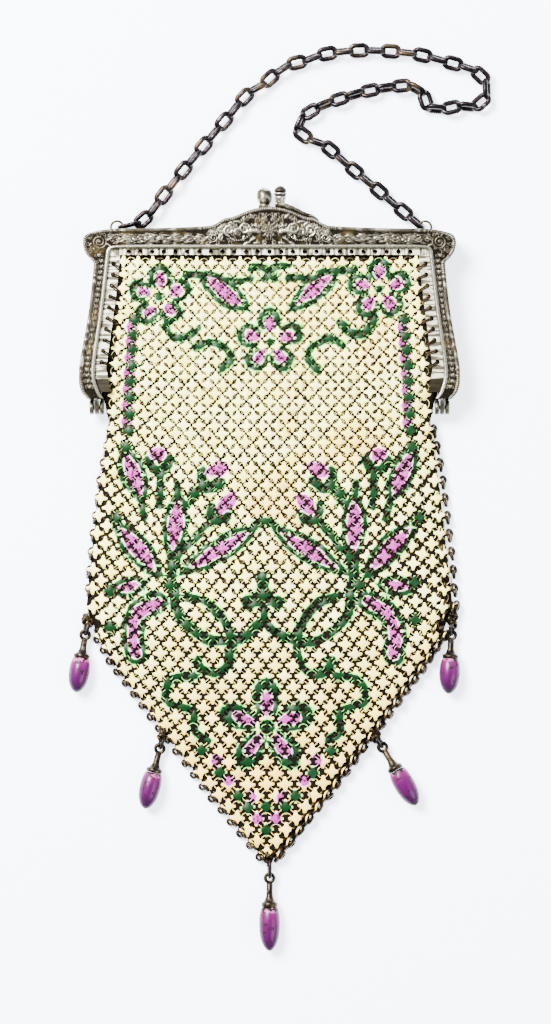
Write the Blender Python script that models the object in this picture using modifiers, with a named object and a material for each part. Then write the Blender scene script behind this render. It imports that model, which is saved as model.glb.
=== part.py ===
"""A metal mesh purse lying on its back: hinged frame, mesh bag, carry chain and five drops.

Metres, +Z up. X runs across the purse, +Y runs from the bag to the carry chain, and the
back rests on the plane z = 0. The origin is the middle of the top bar, on the flat face
of the back half of the frame. Left and right are as seen from the front, from above.
"""
import math
from collections import namedtuple

import bmesh
import bpy
from mathutils import Matrix, Vector

MM = 0.001

# Clearance left between separate pieces
CLEARANCE = 0.3 * MM

# Frame halves, stamped channels with their open sides face to face
FRAME_WIDTH = 126.6 * MM
HINGE_DROP = 56.0 * MM        # from the middle of the top bar down to the hinge pins
BAR_HEIGHT = 6.8 * MM
CROWN_WIDTH = 43.8 * MM
CROWN_RISE = 7.05 * MM        # above the top edge of the bar
ARM_WIDTH = 5.0 * MM
HALF_DEPTH = 5.8 * MM
FLANGE_WALL = 0.8 * MM
FACE_WALL = 1.1 * MM
BORDER_WIDTH = 1.4 * MM       # raised border along both edges of the front face
GROUND_DEPTH = 0.45 * MM      # how far the ground lies below the borders
EDGE_ROUND = 0.5 * MM
LEAF_HEIGHT = 0.5 * MM        # of the cast relief, above the ground

# Hinges
KNUCKLE_RADIUS = 2.4 * MM
KNUCKLE_LENGTH = 1.4 * MM
HINGE_SHIFT = 5.7 * MM        # from the widest point of the frame in to the middle knuckle
PIN_RADIUS = 0.75 * MM

# Pierced rails that carry the mesh
RAIL_WALL = 0.8 * MM
RAIL_TUCK = 0.9 * MM          # how far the rail reaches under the face
RAIL_SIDE_WIDTH = 3.6 * MM    # seen beside the arms
RAIL_TOP_WIDTH = 2.0 * MM     # seen under the bar
RAIL_END_DROP = 0.91          # place of its lower ends, as a share of the hinge drop
RAIL_HOLE_RADIUS = 0.65 * MM
RAIL_HOLE_PITCH = 3.9 * MM
RAIL_TOP_HOLES = 25
RAIL_SIDE_HOLES = 10

# Clasp
KNOB_RADIUS = 2.6 * MM
KNOB_HEIGHT = 7.0 * MM
KNOB_SHIFT = -1.7 * MM        # of the left ball from the middle
STEM_RADIUS = 0.7 * MM
CATCH_RADIUS = 2.2 * MM
CATCH_HEIGHT = 6.0 * MM
CATCH_SHIFT = 3.6 * MM        # of the right ball from the middle
CATCH_ARM_LENGTH = 14.6 * MM
CATCH_ARM_WIDTH = 3.4 * MM
CATCH_ARM_THICKNESS = 2.0 * MM

# Carry chain
LINK_WIRE = 1.25 * MM
LINK_WIDTH = 5.3 * MM
LINK_BITE = 0.20 * MM         # how far the wires of touching links run into each other
LINK_COUNT = 52
UPPER_LINKS = 26
LINK_ROLL = 20.0              # degrees that the flat links lean
EYE_WIRE = 0.8 * MM
EYE_RADIUS = 2.1 * MM         # to the middle of the wire
EYE_RISE = 1.1 * MM           # of the eye's centre above the top of the flange
END_RING_WIRE = 1.4 * MM

# Mesh bag
BAG_LENGTH = 201.5 * MM
BAG_WIDTH = 0.9905 * FRAME_WIDTH
MESH_WALL = 1.4 * MM
LUG_RADIUS = 1.9 * MM         # end rings of the mesh, which the drops hang from
LUG_HOLE_RADIUS = 1.1 * MM
LUG_WALL = 0.8 * MM

# Drops
DROP_LENGTH = 24.3 * MM       # of the longest one, from the middle of its eye to the tip
BEAD_RADIUS = 3.5 * MM
FLANGE_RADIUS = 2.7 * MM
DROP_EYE_RADIUS = 2.0 * MM
DROP_EYE_WALL = 0.9 * MM
JUMP_WIRE = 0.6 * MM
JUMP_WIDTH = 4.0 * MM

# Roundness of the faceted shapes
LINK_SEGMENTS = 10
WIRE_SIDES = 5
TURNED_STEPS = 10
CAP_STEPS = 8
RELIEF_STEPS = 6

# Colours, red green blue
OLD_SILVER = (0.36, 0.34, 0.30)
BRIGHT_SILVER = (0.72, 0.70, 0.66)
GUNMETAL = (0.11, 0.10, 0.10)
CREAM = (0.90, 0.84, 0.64)
MAGENTA = (0.36, 0.05, 0.38)

# The left arm from its hinge end up: height as a share of the hinge drop, outer edge as
# a share of half the frame's width, width as a share of the arm's width
ArmSection = namedtuple("ArmSection", "drop outer width")
ARM_SECTIONS = (
    ArmSection(0.950, 0.958, 1.12),
    ArmSection(0.895, 0.992, 1.20),
    ArmSection(0.770, 1.000, 1.08),
    ArmSection(0.440, 0.950, 0.96),
    ArmSection(0.190, 0.925, 0.98),
)

# The left corner lobe: x as shares of half the frame's width, y of the bar's height
CornerSection = namedtuple("CornerSection", "outer_x outer_y inner_x inner_y")
CORNER_SECTIONS = (
    CornerSection(0.927, -1.13, 0.842, -1.13),
    CornerSection(0.964, -0.74, 0.839, -0.88),
    CornerSection(0.979, -0.29, 0.837, -0.70),
    CornerSection(0.972, 0.09, 0.832, -0.59),
    CornerSection(0.937, 0.29, 0.821, -0.52),
    CornerSection(0.831, 0.46, 0.782, -0.50),
    CornerSection(0.600, 0.50, 0.600, -0.50),
)

# The left half of the crown: place as a share of half its width, rise of its full rise
CrownSection = namedtuple("CrownSection", "along rise")
CROWN_SECTIONS = (
    CrownSection(1.000, 0.09),
    CrownSection(0.820, 0.21),
    CrownSection(0.680, 0.47),
    CrownSection(0.543, 0.55),
    CrownSection(0.315, 0.84),
    CrownSection(0.100, 1.00),
)

# Relief of the left half: x as a share of half the frame's width, y of the bar's height,
# length and width as shares of the bar's height, and the turn in degrees
Leaf = namedtuple("Leaf", "x y length width turn")
ROSE = Leaf(0.0, 0.62, 0.95, 0.95, 0)
LEAVES = (
    Leaf(0.115, 0.50, 0.95, 0.40, 35),
    Leaf(0.215, 0.10, 0.95, 0.40, -20),
    Leaf(0.365, 0.00, 0.90, 0.34, 25),
    Leaf(0.520, 0.00, 0.90, 0.34, -25),
    Leaf(0.680, 0.00, 0.90, 0.34, 25),
    Leaf(0.895, -0.19, 0.62, 0.62, 0),
)
ARM_LEAF_DROPS = (0.31, 0.53)
ARM_LEAF = Leaf(0.0, 0.0, 1.20, 0.30, 90)

# The bag from the mouth to the tip: place as a share of its length, half width as a share
# of half its width, and the heights of its outer faces, in the middle and at the edges,
# as shares of the frame's depth. Beside the rails the rails give the width instead.
BagSection = namedtuple("BagSection", "drop half front_mid front_edge back_mid back_edge")
BAG_SECTIONS = (
    BagSection(0.000, 0.781, 0.882, 0.882, 0.100, 0.100),
    BagSection(0.094, 0.817, 0.850, 0.840, 0.000, 0.100),
    BagSection(0.160, 0.844, 0.830, 0.800, 0.000, 0.130),
    BagSection(0.267, 0.868, 0.790, 0.590, 0.000, 0.320),
    BagSection(0.299, 0.893, 0.775, 0.480, 0.000, 0.210),
    BagSection(0.359, 0.919, 0.755, 0.353, 0.000, 0.085),
    BagSection(0.453, 0.957, 0.720, 0.280, 0.000, 0.015),
    BagSection(0.580, 1.000, 0.650, 0.265, 0.000, 0.000),
    BagSection(0.617, 0.954, 0.615, 0.265, 0.000, 0.000),
    BagSection(0.676, 0.847, 0.560, 0.265, 0.000, 0.000),
    BagSection(0.741, 0.692, 0.500, 0.265, 0.000, 0.000),
    BagSection(0.890, 0.335, 0.360, 0.265, 0.000, 0.000),
    BagSection(1.000, 0.048, 0.265, 0.265, 0.000, 0.000),
)
# Places of the points across the bag, as shares of its half width
BAG_COLUMNS = (-1.0, -0.85, -0.5, 0.0, 0.5, 0.85, 1.0)
BAG_FULLNESS = 3              # power of the fall from the middle to the edges

# The drops: side of the bag, place on its edge as a share of its length, turn from
# straight down in degrees, length and reach of its jump ring as shares
Drop = namedtuple("Drop", "side drop turn length reach")
DROPS = (
    Drop(-1, 0.605, -8.9, 0.80, 1.0),
    Drop(1, 0.605, -2.9, 0.81, 1.0),
    Drop(-1, 0.794, -14.0, 0.85, 1.0),
    Drop(1, 0.794, 30.4, 0.92, 1.0),
    Drop(0, 1.000, 0.0, 1.00, 1.4),
)
JUMP_REACH = 4.2 * MM         # from the end ring of the mesh to the eye of a drop

# Outlines of a cap and a bead: place along the drop as a share of its length, radius as
# a share of the flange's or the bead's
CAP_PROFILE = ((0.066, 0.41), (0.200, 0.41), (0.320, 0.66), (0.342, 1.0), (0.400, 1.0))
BEAD_PROFILE = ((0.415, 0.80), (0.500, 0.94), (0.640, 1.0), (0.800, 0.90), (0.930, 0.58))

# Route of the chain from the left end ring round to the right eye: x as a share of half
# the frame's width, y in millimetres
CHAIN_ROUTE = (
    (-0.6983, 5.2), (-0.6382, 8.4), (-0.5735, 13.9), (-0.4724, 22.1), (-0.3776, 29.4),
    (-0.2828, 36.6), (-0.1817, 44.1), (-0.1248, 48.8), (-0.0237, 52.6), (0.0758, 58.2),
    (0.1532, 59.3), (0.2875, 62.3), (0.4613, 63.5), (0.6256, 63.3), (0.7899, 62.2),
    (0.9368, 59.7), (1.0790, 57.1), (1.1406, 53.8), (1.1596, 49.4), (1.1058, 45.1),
    (1.0379, 44.1), (0.9684, 45.8), (0.9005, 43.2), (0.8310, 44.6), (0.8152, 49.0),
    (0.7741, 51.9), (0.7204, 51.8), (0.5577, 50.5), (0.3981, 47.8), (0.2512, 44.4),
    (0.1485, 39.8), (0.1453, 36.6), (0.1927, 34.1), (0.2875, 32.1), (0.4092, 25.4),
    (0.5308, 19.1), (0.6524, 12.5), (0.7267, 8.6), (0.8041, 4.5),
)

FRAME_DEPTH = 2 * HALF_DEPTH + CLEARANCE
HALF_WIDTH = FRAME_WIDTH / 2
HINGE_X = HALF_WIDTH - HINGE_SHIFT
HINGE_Z = FRAME_DEPTH / 2
RAIL_HEIGHT = FACE_WALL + CLEARANCE      # of a rail's outer side below the face
MOUTH_Y = -(BAR_HEIGHT / 2 + RAIL_TOP_WIDTH + CLEARANCE)


def start_scene():
    """Empty the scene and return the collections of the purse and of its cutters."""
    for old in list(bpy.data.objects):
        bpy.data.objects.remove(old)
    purse = bpy.data.collections.new("metal_mesh_purse")
    cutters = bpy.data.collections.new("cutters")
    for group in (purse, cutters):
        bpy.context.scene.collection.children.link(group)
    return purse, cutters


PURSE, CUTTERS = start_scene()


def surface(name, colour, roughness, metallic):
    """Make the material of one piece."""
    material = bpy.data.materials.new(name)
    material.use_nodes = True
    shader = material.node_tree.nodes["Principled BSDF"]
    shader.inputs["Base Color"].default_value = (*colour, 1.0)
    shader.inputs["Roughness"].default_value = roughness
    shader.inputs["Metallic"].default_value = metallic
    return material


def add_piece(name, mesh, colour, roughness=0.35, metallic=1.0):
    """Put a finished piece with its own material in the purse's collection."""
    piece = bpy.data.objects.new(name, mesh)
    mesh.materials.clear()
    mesh.materials.append(surface(name + "_finish", colour, roughness, metallic))
    PURSE.objects.link(piece)
    return piece


def add_cutter(name, mesh):
    """Put a shape that only cuts or joins another in the cutters' collection."""
    cutter = bpy.data.objects.new(name, mesh)
    CUTTERS.objects.link(cutter)
    cutter.hide_render = True
    cutter.display_type = "WIRE"
    return cutter


def combine(piece, other, operation):
    """Cut a piece with another shape, or join that shape to it."""
    step = piece.modifiers.new(operation.lower() + "_" + other.name, "BOOLEAN")
    step.operation = operation
    step.solver = "EXACT"
    step.object = other


def mesh_from(bm, name):
    """Close an edit mesh with its faces pointing out."""
    bmesh.ops.recalc_face_normals(bm, faces=bm.faces[:])
    mesh = bpy.data.meshes.new(name)
    bm.to_mesh(mesh)
    bm.free()
    return mesh


def loft(name, rings):
    """Join rings of points of equal number into one closed body with flat ends."""
    bm = bmesh.new()
    rows = [[bm.verts.new(point) for point in ring] for ring in rings]
    for near, far in zip(rows, rows[1:]):
        for index in range(len(near)):
            following = (index + 1) % len(near)
            bm.faces.new((near[index], near[following], far[following], far[index]))
    bm.faces.new(rows[0])
    bm.faces.new(rows[-1])
    return mesh_from(bm, name)


def prism(bm, sides, radius, depth, place):
    """Add a straight prism whose axis is the Z axis of its placing matrix."""
    bmesh.ops.create_cone(
        bm, cap_ends=True, segments=sides, radius1=radius, radius2=radius,
        depth=depth, matrix=place,
    )


def turned(name, profile, colour, roughness, metallic=1.0, steps=TURNED_STEPS):
    """Turn a profile of height and radius, listed from the top down, about Z."""
    mesh = bpy.data.meshes.new(name)
    points = [(radius, 0.0, height) for height, radius in profile]
    edges = [(index, index + 1) for index in range(len(points) - 1)]
    mesh.from_pydata(points, edges, [])
    piece = add_piece(name, mesh, colour, roughness, metallic)
    turn = piece.modifiers.new("turn", "SCREW")
    turn.axis = "Z"
    turn.angle = 2 * math.pi
    turn.steps = steps
    turn.render_steps = steps
    turn.use_merge_vertices = True
    turn.merge_threshold = 0.00001
    turn.use_smooth_shade = True
    return piece


def between(rows, place, key, value):
    """Read a value between the rows of a table that is sorted by its key."""
    ordered = sorted(rows, key=lambda row: getattr(row, key))
    for low, high in zip(ordered, ordered[1:]):
        if place <= getattr(high, key):
            break
    span = getattr(high, key) - getattr(low, key)
    share = (place - getattr(low, key)) / span
    return getattr(low, value) + share * (getattr(high, value) - getattr(low, value))


def frame_stations():
    """Outer and inner edge points of the frame, from the left hinge to the right one."""
    left = []
    for row in ARM_SECTIONS:
        outer = Vector((-row.outer * HALF_WIDTH, -row.drop * HINGE_DROP))
        left.append((outer, outer + Vector((row.width * ARM_WIDTH, 0.0))))
    for row in CORNER_SECTIONS:
        outer = Vector((-row.outer_x * HALF_WIDTH, row.outer_y * BAR_HEIGHT))
        left.append((outer, Vector((-row.inner_x * HALF_WIDTH, row.inner_y * BAR_HEIGHT))))
    for row in CROWN_SECTIONS:
        x = -row.along * CROWN_WIDTH / 2
        outer = Vector((x, BAR_HEIGHT / 2 + row.rise * CROWN_RISE))
        left.append((outer, Vector((x, -BAR_HEIGHT / 2))))
    right = [(flip(outer), flip(inner)) for outer, inner in reversed(left)]
    return left + right


def flip(point):
    """Mirror a point of the plan from left to right."""
    return Vector((-point.x, point.y))


def front_profile(width):
    """Section of the front half: distance from its outer edge, height above the joint."""
    ground = HALF_DEPTH - GROUND_DEPTH
    under = HALF_DEPTH - FACE_WALL
    crest = BORDER_WIDTH / 2
    return (
        (0.0, 0.0), (0.0, HALF_DEPTH - EDGE_ROUND), (crest, HALF_DEPTH),
        (BORDER_WIDTH, ground), (width - BORDER_WIDTH, ground),
        (width - crest, HALF_DEPTH), (width, under),
        (FLANGE_WALL, under), (FLANGE_WALL, 0.0),
    )


def back_profile(width):
    """Section of the back half, whose face is flat."""
    under = HALF_DEPTH - FACE_WALL
    return (
        (0.0, 0.0), (0.0, HALF_DEPTH - EDGE_ROUND), (EDGE_ROUND, HALF_DEPTH),
        (width - EDGE_ROUND, HALF_DEPTH), (width, under),
        (FLANGE_WALL, under), (FLANGE_WALL, 0.0),
    )


def frame_half(name, profile, joint_z, side):
    """Loft one half of the frame along its stations, away from the joint plane."""
    rings = []
    for outer, inner in frame_stations():
        across = (inner - outer).normalized()
        ring = []
        for distance, height in profile((inner - outer).length):
            spot = outer + across * distance
            ring.append((spot.x, spot.y, joint_z + side * height))
        rings.append(ring)
    return add_piece(name, loft(name, rings), OLD_SILVER, 0.4)


def raised_leaf(bm, leaf, side, ground_z):
    """Add a low domed leaf whose widest section lies on the ground of the face."""
    place = (
        Matrix.Translation((side * leaf.x * HALF_WIDTH, leaf.y * BAR_HEIGHT, ground_z))
        @ Matrix.Rotation(math.radians(side * leaf.turn), 4, "Z")
        @ Matrix.Diagonal((leaf.length * BAR_HEIGHT / 2, leaf.width * BAR_HEIGHT / 2,
                           LEAF_HEIGHT, 1.0))
    )
    bmesh.ops.create_uvsphere(
        bm, u_segments=RELIEF_STEPS, v_segments=4, radius=1.0, matrix=place,
    )


def frame_relief():
    """Rose, leaf scrolls, rosettes and arm leaves, cast on the front face."""
    ground_z = FRAME_DEPTH - GROUND_DEPTH
    bm = bmesh.new()
    raised_leaf(bm, ROSE, 1, ground_z)
    for side in (-1, 1):
        for leaf in LEAVES:
            raised_leaf(bm, leaf, side, ground_z)
        for drop in ARM_LEAF_DROPS:
            outer = between(ARM_SECTIONS, drop, "drop", "outer") * HALF_WIDTH
            width = between(ARM_SECTIONS, drop, "drop", "width") * ARM_WIDTH
            middle = (outer - width / 2) / HALF_WIDTH
            height = -drop * HINGE_DROP / BAR_HEIGHT
            raised_leaf(bm, ARM_LEAF._replace(x=middle, y=height), side, ground_z)
    return add_cutter("relief", mesh_from(bm, "relief"))


def knuckle_outline(away):
    """Outline of a knuckle and its tongue in the plane across the pin."""
    face = HALF_DEPTH + CLEARANCE / 2 - 0.6 * MM     # tongue ends inside the face's wall
    start = -ARM_SECTIONS[0].drop * HINGE_DROP + 1.2 * MM
    points = [(start, face), (-HINGE_DROP + 0.6 * KNUCKLE_RADIUS, face)]
    for step in range(6):
        angle = math.radians(115 + 45 * step)
        points.append((-HINGE_DROP + KNUCKLE_RADIUS * math.cos(angle),
                       KNUCKLE_RADIUS * math.sin(angle)))
    points.append((-HINGE_DROP + KNUCKLE_RADIUS, face - 1.0 * MM))
    points.append((start, face - 0.6 * MM))
    return [(y, HINGE_Z + away * height) for y, height in points]


def knuckles(name, away, offsets):
    """Knuckles at both hinges, at their offsets along the pins."""
    bm = bmesh.new()
    for side in (-1, 1):
        for offset in offsets:
            middle = side * HINGE_X + offset * (KNUCKLE_LENGTH + CLEARANCE)
            ends = []
            for end in (-1, 1):
                x = middle + end * KNUCKLE_LENGTH / 2
                ends.append([bm.verts.new((x, y, z)) for y, z in knuckle_outline(away)])
            count = len(ends[0])
            for index in range(count):
                following = (index + 1) % count
                bm.faces.new((ends[0][index], ends[0][following],
                              ends[1][following], ends[1][index]))
            bm.faces.new(ends[0])
            bm.faces.new(ends[1])
    return add_cutter(name, mesh_from(bm, name))


def across_x(x, y, z):
    """Placing matrix whose Z axis lies along the purse's X axis."""
    return Matrix.Translation((x, y, z)) @ Matrix.Rotation(math.pi / 2, 4, "Y")


def along_y(x, y, z):
    """Placing matrix whose Z axis lies along the purse's Y axis."""
    return Matrix.Translation((x, y, z)) @ Matrix.Rotation(-math.pi / 2, 4, "X")


def hinge_bores():
    """Bores for the hinge pins, clear of them all round."""
    bm = bmesh.new()
    for side in (-1, 1):
        place = across_x(side * HINGE_X, -HINGE_DROP, HINGE_Z)
        prism(bm, 8, PIN_RADIUS + CLEARANCE, 6 * KNUCKLE_LENGTH, place)
    return add_cutter("hinge_bores", mesh_from(bm, "hinge_bores"))


def hinge_pin(name, side):
    """One plain pin through its three knuckles."""
    bm = bmesh.new()
    length = 3 * KNUCKLE_LENGTH + 2 * CLEARANCE
    prism(bm, 8, PIN_RADIUS, length, across_x(0.0, 0.0, 0.0))
    pin = add_piece(name, mesh_from(bm, name), BRIGHT_SILVER)
    pin.location = (side * HINGE_X, -HINGE_DROP, HINGE_Z)
    return pin


def oval_ring(length, width, wire, segments=LINK_SEGMENTS, sides=WIRE_SIDES):
    """Mesh of a wire ring in the XY plane, drawn out to an oval along X.

    The wire has a ridge on the inside of the ring.
    """
    bm = bmesh.new()
    start = (
        Matrix.Translation(((width - wire) / 2, 0.0, 0.0))
        @ Matrix.Rotation(math.pi / 2, 4, "X")
        @ Matrix.Rotation(math.pi, 4, "Z")
    )
    circle = bmesh.ops.create_circle(bm, segments=sides, radius=wire / 2, matrix=start)
    edges = list({edge for point in circle["verts"] for edge in point.link_edges})
    bmesh.ops.spin(
        bm, geom=circle["verts"] + edges, cent=(0.0, 0.0, 0.0), axis=(0.0, 0.0, 1.0),
        angle=2 * math.pi, steps=segments, use_merge=True,
    )
    draw = (length - width) / 2
    for point in bm.verts:
        if abs(point.co.x) > wire / 100:
            point.co.x += math.copysign(draw, point.co.x)
    return mesh_from(bm, "oval_ring")


def flange_top(x):
    """Height of the frame's outer edge above the middle of the bar, anywhere along it."""
    stations = frame_stations()
    for (near, _), (far, _) in zip(stations, stations[1:]):
        if near.x <= x <= far.x and near.y > 0 and far.y > 0:
            return near.y + (x - near.x) / (far.x - near.x) * (far.y - near.y)
    return BAR_HEIGHT / 2


EYE_Z = HALF_DEPTH / 2
LEFT_EYE_X = -0.805 * HALF_WIDTH
RIGHT_EYE_X = 0.822 * HALF_WIDTH


def chain_eyes():
    """The two wire eyes that are soldered to the top of the back half."""
    ring = oval_ring(2 * EYE_RADIUS + EYE_WIRE, 2 * EYE_RADIUS + EYE_WIRE, EYE_WIRE)
    bm = bmesh.new()
    for x in (LEFT_EYE_X, RIGHT_EYE_X):
        copy = ring.copy()
        copy.transform(Matrix.Translation((x, flange_top(x) + EYE_RISE, EYE_Z)))
        bm.from_mesh(copy)
    return add_cutter("chain_eyes", mesh_from(bm, "chain_eyes"))


def build_frame():
    """Both halves of the frame with their relief, knuckles, eyes and bores."""
    front = frame_half("frame_front", front_profile, FRAME_DEPTH - HALF_DEPTH, 1)
    back = frame_half("frame_back", back_profile, HALF_DEPTH, -1)
    combine(front, frame_relief(), "UNION")
    combine(front, knuckles("front_knuckles", 1, (0,)), "UNION")
    combine(back, knuckles("back_knuckles", -1, (-1, 1)), "UNION")
    combine(back, chain_eyes(), "UNION")
    bores = hinge_bores()
    combine(front, bores, "DIFFERENCE")
    combine(back, bores, "DIFFERENCE")
    combine(back, stem_bore(), "DIFFERENCE")
    hinge_pin("hinge_pin_left", -1)
    hinge_pin("hinge_pin_right", 1)


def arm_inner(y):
    """Distance of an arm's inner edge from the middle at a height of the plan."""
    drop = -y / HINGE_DROP
    outer = between(ARM_SECTIONS, drop, "drop", "outer") * HALF_WIDTH
    return outer - between(ARM_SECTIONS, drop, "drop", "width") * ARM_WIDTH


def rail_stations():
    """Outer and inner edge points of a rail, from the left hinge to the right one."""
    left = []
    drops = [RAIL_END_DROP] + [row.drop for row in ARM_SECTIONS[2:]]
    for drop in drops:
        y = -drop * HINGE_DROP
        x = arm_inner(y)
        left.append((Vector((-x - RAIL_TUCK, y)), Vector((-x + RAIL_SIDE_WIDTH, y))))
    corner = CORNER_SECTIONS[0].inner_x * HALF_WIDTH
    edge = -BAR_HEIGHT / 2
    left.append((Vector((-corner - RAIL_TUCK, edge + RAIL_TUCK)),
                 Vector((-corner + RAIL_SIDE_WIDTH, edge - RAIL_TOP_WIDTH))))
    return left + [(flip(outer), flip(inner)) for outer, inner in reversed(left)]


def rail_holes(name, every, low, high):
    """Row of holes along the top and both sides of a rail: all of them, or every other."""
    depth = (high - low) + 4 * MM
    middle = (low + high) / 2
    bm = bmesh.new()
    top_y = -BAR_HEIGHT / 2 - RAIL_TOP_WIDTH / 2
    for index in range(0, RAIL_TOP_HOLES, every):
        x = (index - (RAIL_TOP_HOLES - 1) / 2) * RAIL_HOLE_PITCH
        prism(bm, 4, RAIL_HOLE_RADIUS, depth, Matrix.Translation((x, top_y, middle)))
    for side in (-1, 1):
        for index in range(0, RAIL_SIDE_HOLES, every):
            y = top_y - (index + 1.1) * RAIL_HOLE_PITCH * 0.93
            x = arm_inner(y) - RAIL_SIDE_WIDTH / 2
            place = Matrix.Translation((side * x, y, middle))
            prism(bm, 4, RAIL_HOLE_RADIUS, depth, place)
    return add_cutter(name, mesh_from(bm, name))


def build_rail(name, low, high, every):
    """One pierced rail, tucked under the face of its half of the frame."""
    rings = []
    for outer, inner in rail_stations():
        rings.append(((outer.x, outer.y, low), (inner.x, inner.y, low),
                      (inner.x, inner.y, high), (outer.x, outer.y, high)))
    rail = add_piece(name, loft(name, rings), BRIGHT_SILVER, 0.25)
    combine(rail, rail_holes(name + "_holes", every, low, high), "DIFFERENCE")


def build_rails():
    """The rails of the front and the back."""
    top = FRAME_DEPTH - RAIL_HEIGHT
    build_rail("rail_front", top - RAIL_WALL, top, 1)
    build_rail("rail_back", RAIL_HEIGHT, RAIL_HEIGHT + RAIL_WALL, 2)


def stem_bore():
    """Bore in the top of the back half for the stem of the left ball."""
    bm = bmesh.new()
    place = along_y(KNOB_SHIFT, BAR_HEIGHT / 2 + CROWN_RISE, EYE_Z)
    prism(bm, 8, STEM_RADIUS + CLEARANCE, 4 * FLANGE_WALL, place)
    return add_cutter("stem_bore", mesh_from(bm, "stem_bore"))


def ball_profile(height, radius, foot):
    """Profile of a ball on its foot, top down, with the stem's length below it."""
    rows = ((1.00, 0.0), (0.95, 0.45), (0.80, 0.86), (0.60, 1.0), (0.35, 0.90),
            (0.12, 0.68), (0.0, 0.75))
    profile = [(share * height, part * radius) for share, part in rows]
    return profile + foot


def build_clasp():
    """The two balls of the clasp: the left one on a stem, the right one on its arm."""
    crown_y = BAR_HEIGHT / 2 + CROWN_RISE
    stem = -(CLEARANCE + FLANGE_WALL + 1.0 * MM)
    foot = [(0.0, STEM_RADIUS), (stem, STEM_RADIUS), (stem, 0.0)]
    knob = turned("clasp_knob", ball_profile(KNOB_HEIGHT, KNOB_RADIUS, foot), OLD_SILVER, 0.3)
    knob.rotation_euler = (-math.pi / 2, 0.0, 0.0)
    knob.location = (KNOB_SHIFT, crown_y + CLEARANCE, EYE_Z)
    build_catch()


def build_catch():
    """The right ball, fused to the arm that lies along the top of the front half."""
    arm_z = FRAME_DEPTH - HALF_DEPTH / 2
    start = CATCH_SHIFT - 0.8 * CATCH_RADIUS
    steps = 6
    lower = []
    upper = []
    for step in range(steps + 1):
        share = step / steps
        x = start + share * CATCH_ARM_LENGTH
        seat = flange_top(x) + 1.5 * CLEARANCE
        taper = math.sqrt(max(1.0 - share ** 2, 0.05))
        lower.append((x, seat))
        upper.append((x, seat + CATCH_ARM_THICKNESS * taper))
    rings = []
    for (x, low), (_, high) in zip(lower, upper):
        front = arm_z + CATCH_ARM_WIDTH / 2
        behind = arm_z - CATCH_ARM_WIDTH / 2
        rings.append(((x, low, behind), (x, low, front), (x, high, front), (x, high, behind)))
    arm = add_cutter("catch_arm", loft("catch_arm", rings))
    seat = flange_top(CATCH_SHIFT) + 1.5 * CLEARANCE
    foot = [(0.0, 0.0)]
    catch = turned("clasp_arm", ball_profile(CATCH_HEIGHT, CATCH_RADIUS, foot), OLD_SILVER, 0.3)
    catch.rotation_euler = (-math.pi / 2, 0.0, 0.0)
    catch.location = (CATCH_SHIFT, seat + 0.5 * CATCH_ARM_THICKNESS, arm_z)
    combine(catch, arm, "UNION")


def smooth_route(points, steps=24):
    """Points of a smooth curve through the route, close together."""
    spots = [Vector((x * HALF_WIDTH, y * MM)) for x, y in points]
    padded = [2 * spots[0] - spots[1]] + spots + [2 * spots[-1] - spots[-2]]
    curve = []
    for a, b, c, d in zip(padded, padded[1:], padded[2:], padded[3:]):
        for step in range(steps):
            t = step / steps
            curve.append(0.5 * (2 * b + (c - a) * t + (2 * a - 5 * b + 4 * c - d) * t ** 2
                                + (3 * b - a - 3 * c + d) * t ** 3))
    curve.append(spots[-1])
    return curve


def next_place(curve, place, chord):
    """Place on the curve, as a number of steps, that lies one chord further on."""
    start = spot_at(curve, place)
    index = int(place) + 1
    while index < len(curve) and (curve[index] - start).length < chord:
        index += 1
    if index >= len(curve):
        return None
    low = max(index - 1, place)
    high = index
    for _ in range(30):
        middle = (low + high) / 2
        if (spot_at(curve, middle) - start).length < chord:
            low = middle
        else:
            high = middle
    return high


def spot_at(curve, place):
    """Point of the curve at a number of steps along it."""
    index = min(int(place), len(curve) - 2)
    return curve[index].lerp(curve[index + 1], place - index)


def link_ends(curve, pitch):
    """Ends of all links laid along the curve; None when the curve is too short."""
    ends = []
    place = 0.0
    for index in range(LINK_COUNT):
        following = next_place(curve, place, pitch)
        if following is None:
            return None
        ends.append((spot_at(curve, place), spot_at(curve, following)))
        place = following
        if index + 1 == UPPER_LINKS:
            back = next_place(curve[::-1], len(curve) - 1 - place, LINK_BITE + 0.2 * MM)
            place = len(curve) - 1 - back
    return ends


def fit_links():
    """Pitch and ends of the links that just fill the route."""
    curve = smooth_route(CHAIN_ROUTE)
    low = LINK_WIDTH / 2
    high = 2 * LINK_WIDTH
    for _ in range(40):
        pitch = (low + high) / 2
        if link_ends(curve, pitch) is None:
            high = pitch
        else:
            low = pitch
    return low, link_ends(curve, low)


def place_link(ends, roll):
    """Placing matrix of a link whose middle lies between its two ends."""
    start, end = ends
    middle = (start + end) / 2
    run = end - start
    return (
        Matrix.Translation((middle.x, middle.y, LINK_WIDTH / 2))
        @ Matrix.Rotation(math.atan2(run.y, run.x), 4, "Z")
        @ Matrix.Rotation(math.radians(roll), 4, "X")
    )


def links_mesh(name, link, ends, parity):
    """Every other link of one run of the chain, in one mesh."""
    bm = bmesh.new()
    for index, pair in enumerate(ends):
        if index % 2 == parity:
            copy = link.copy()
            copy.transform(place_link(pair, LINK_ROLL + 90 * (index % 2)))
            bm.from_mesh(copy)
    return mesh_from(bm, name)


def build_chain():
    """Two fused runs of links and the long ring at the left end."""
    pitch, ends = fit_links()
    link = oval_ring(pitch + 2 * LINK_WIRE - LINK_BITE, LINK_WIDTH, LINK_WIRE)
    runs = (("chain_upper", ends[:UPPER_LINKS]), ("chain_lower", ends[UPPER_LINKS:]))
    for name, run in runs:
        chain = add_piece(name, links_mesh(name, link, run, 0), GUNMETAL, 0.35)
        others = add_cutter(name + "_turned", links_mesh(name + "_turned", link, run, 1))
        combine(chain, others, "UNION")
    build_end_ring(*ends[0])


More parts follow.
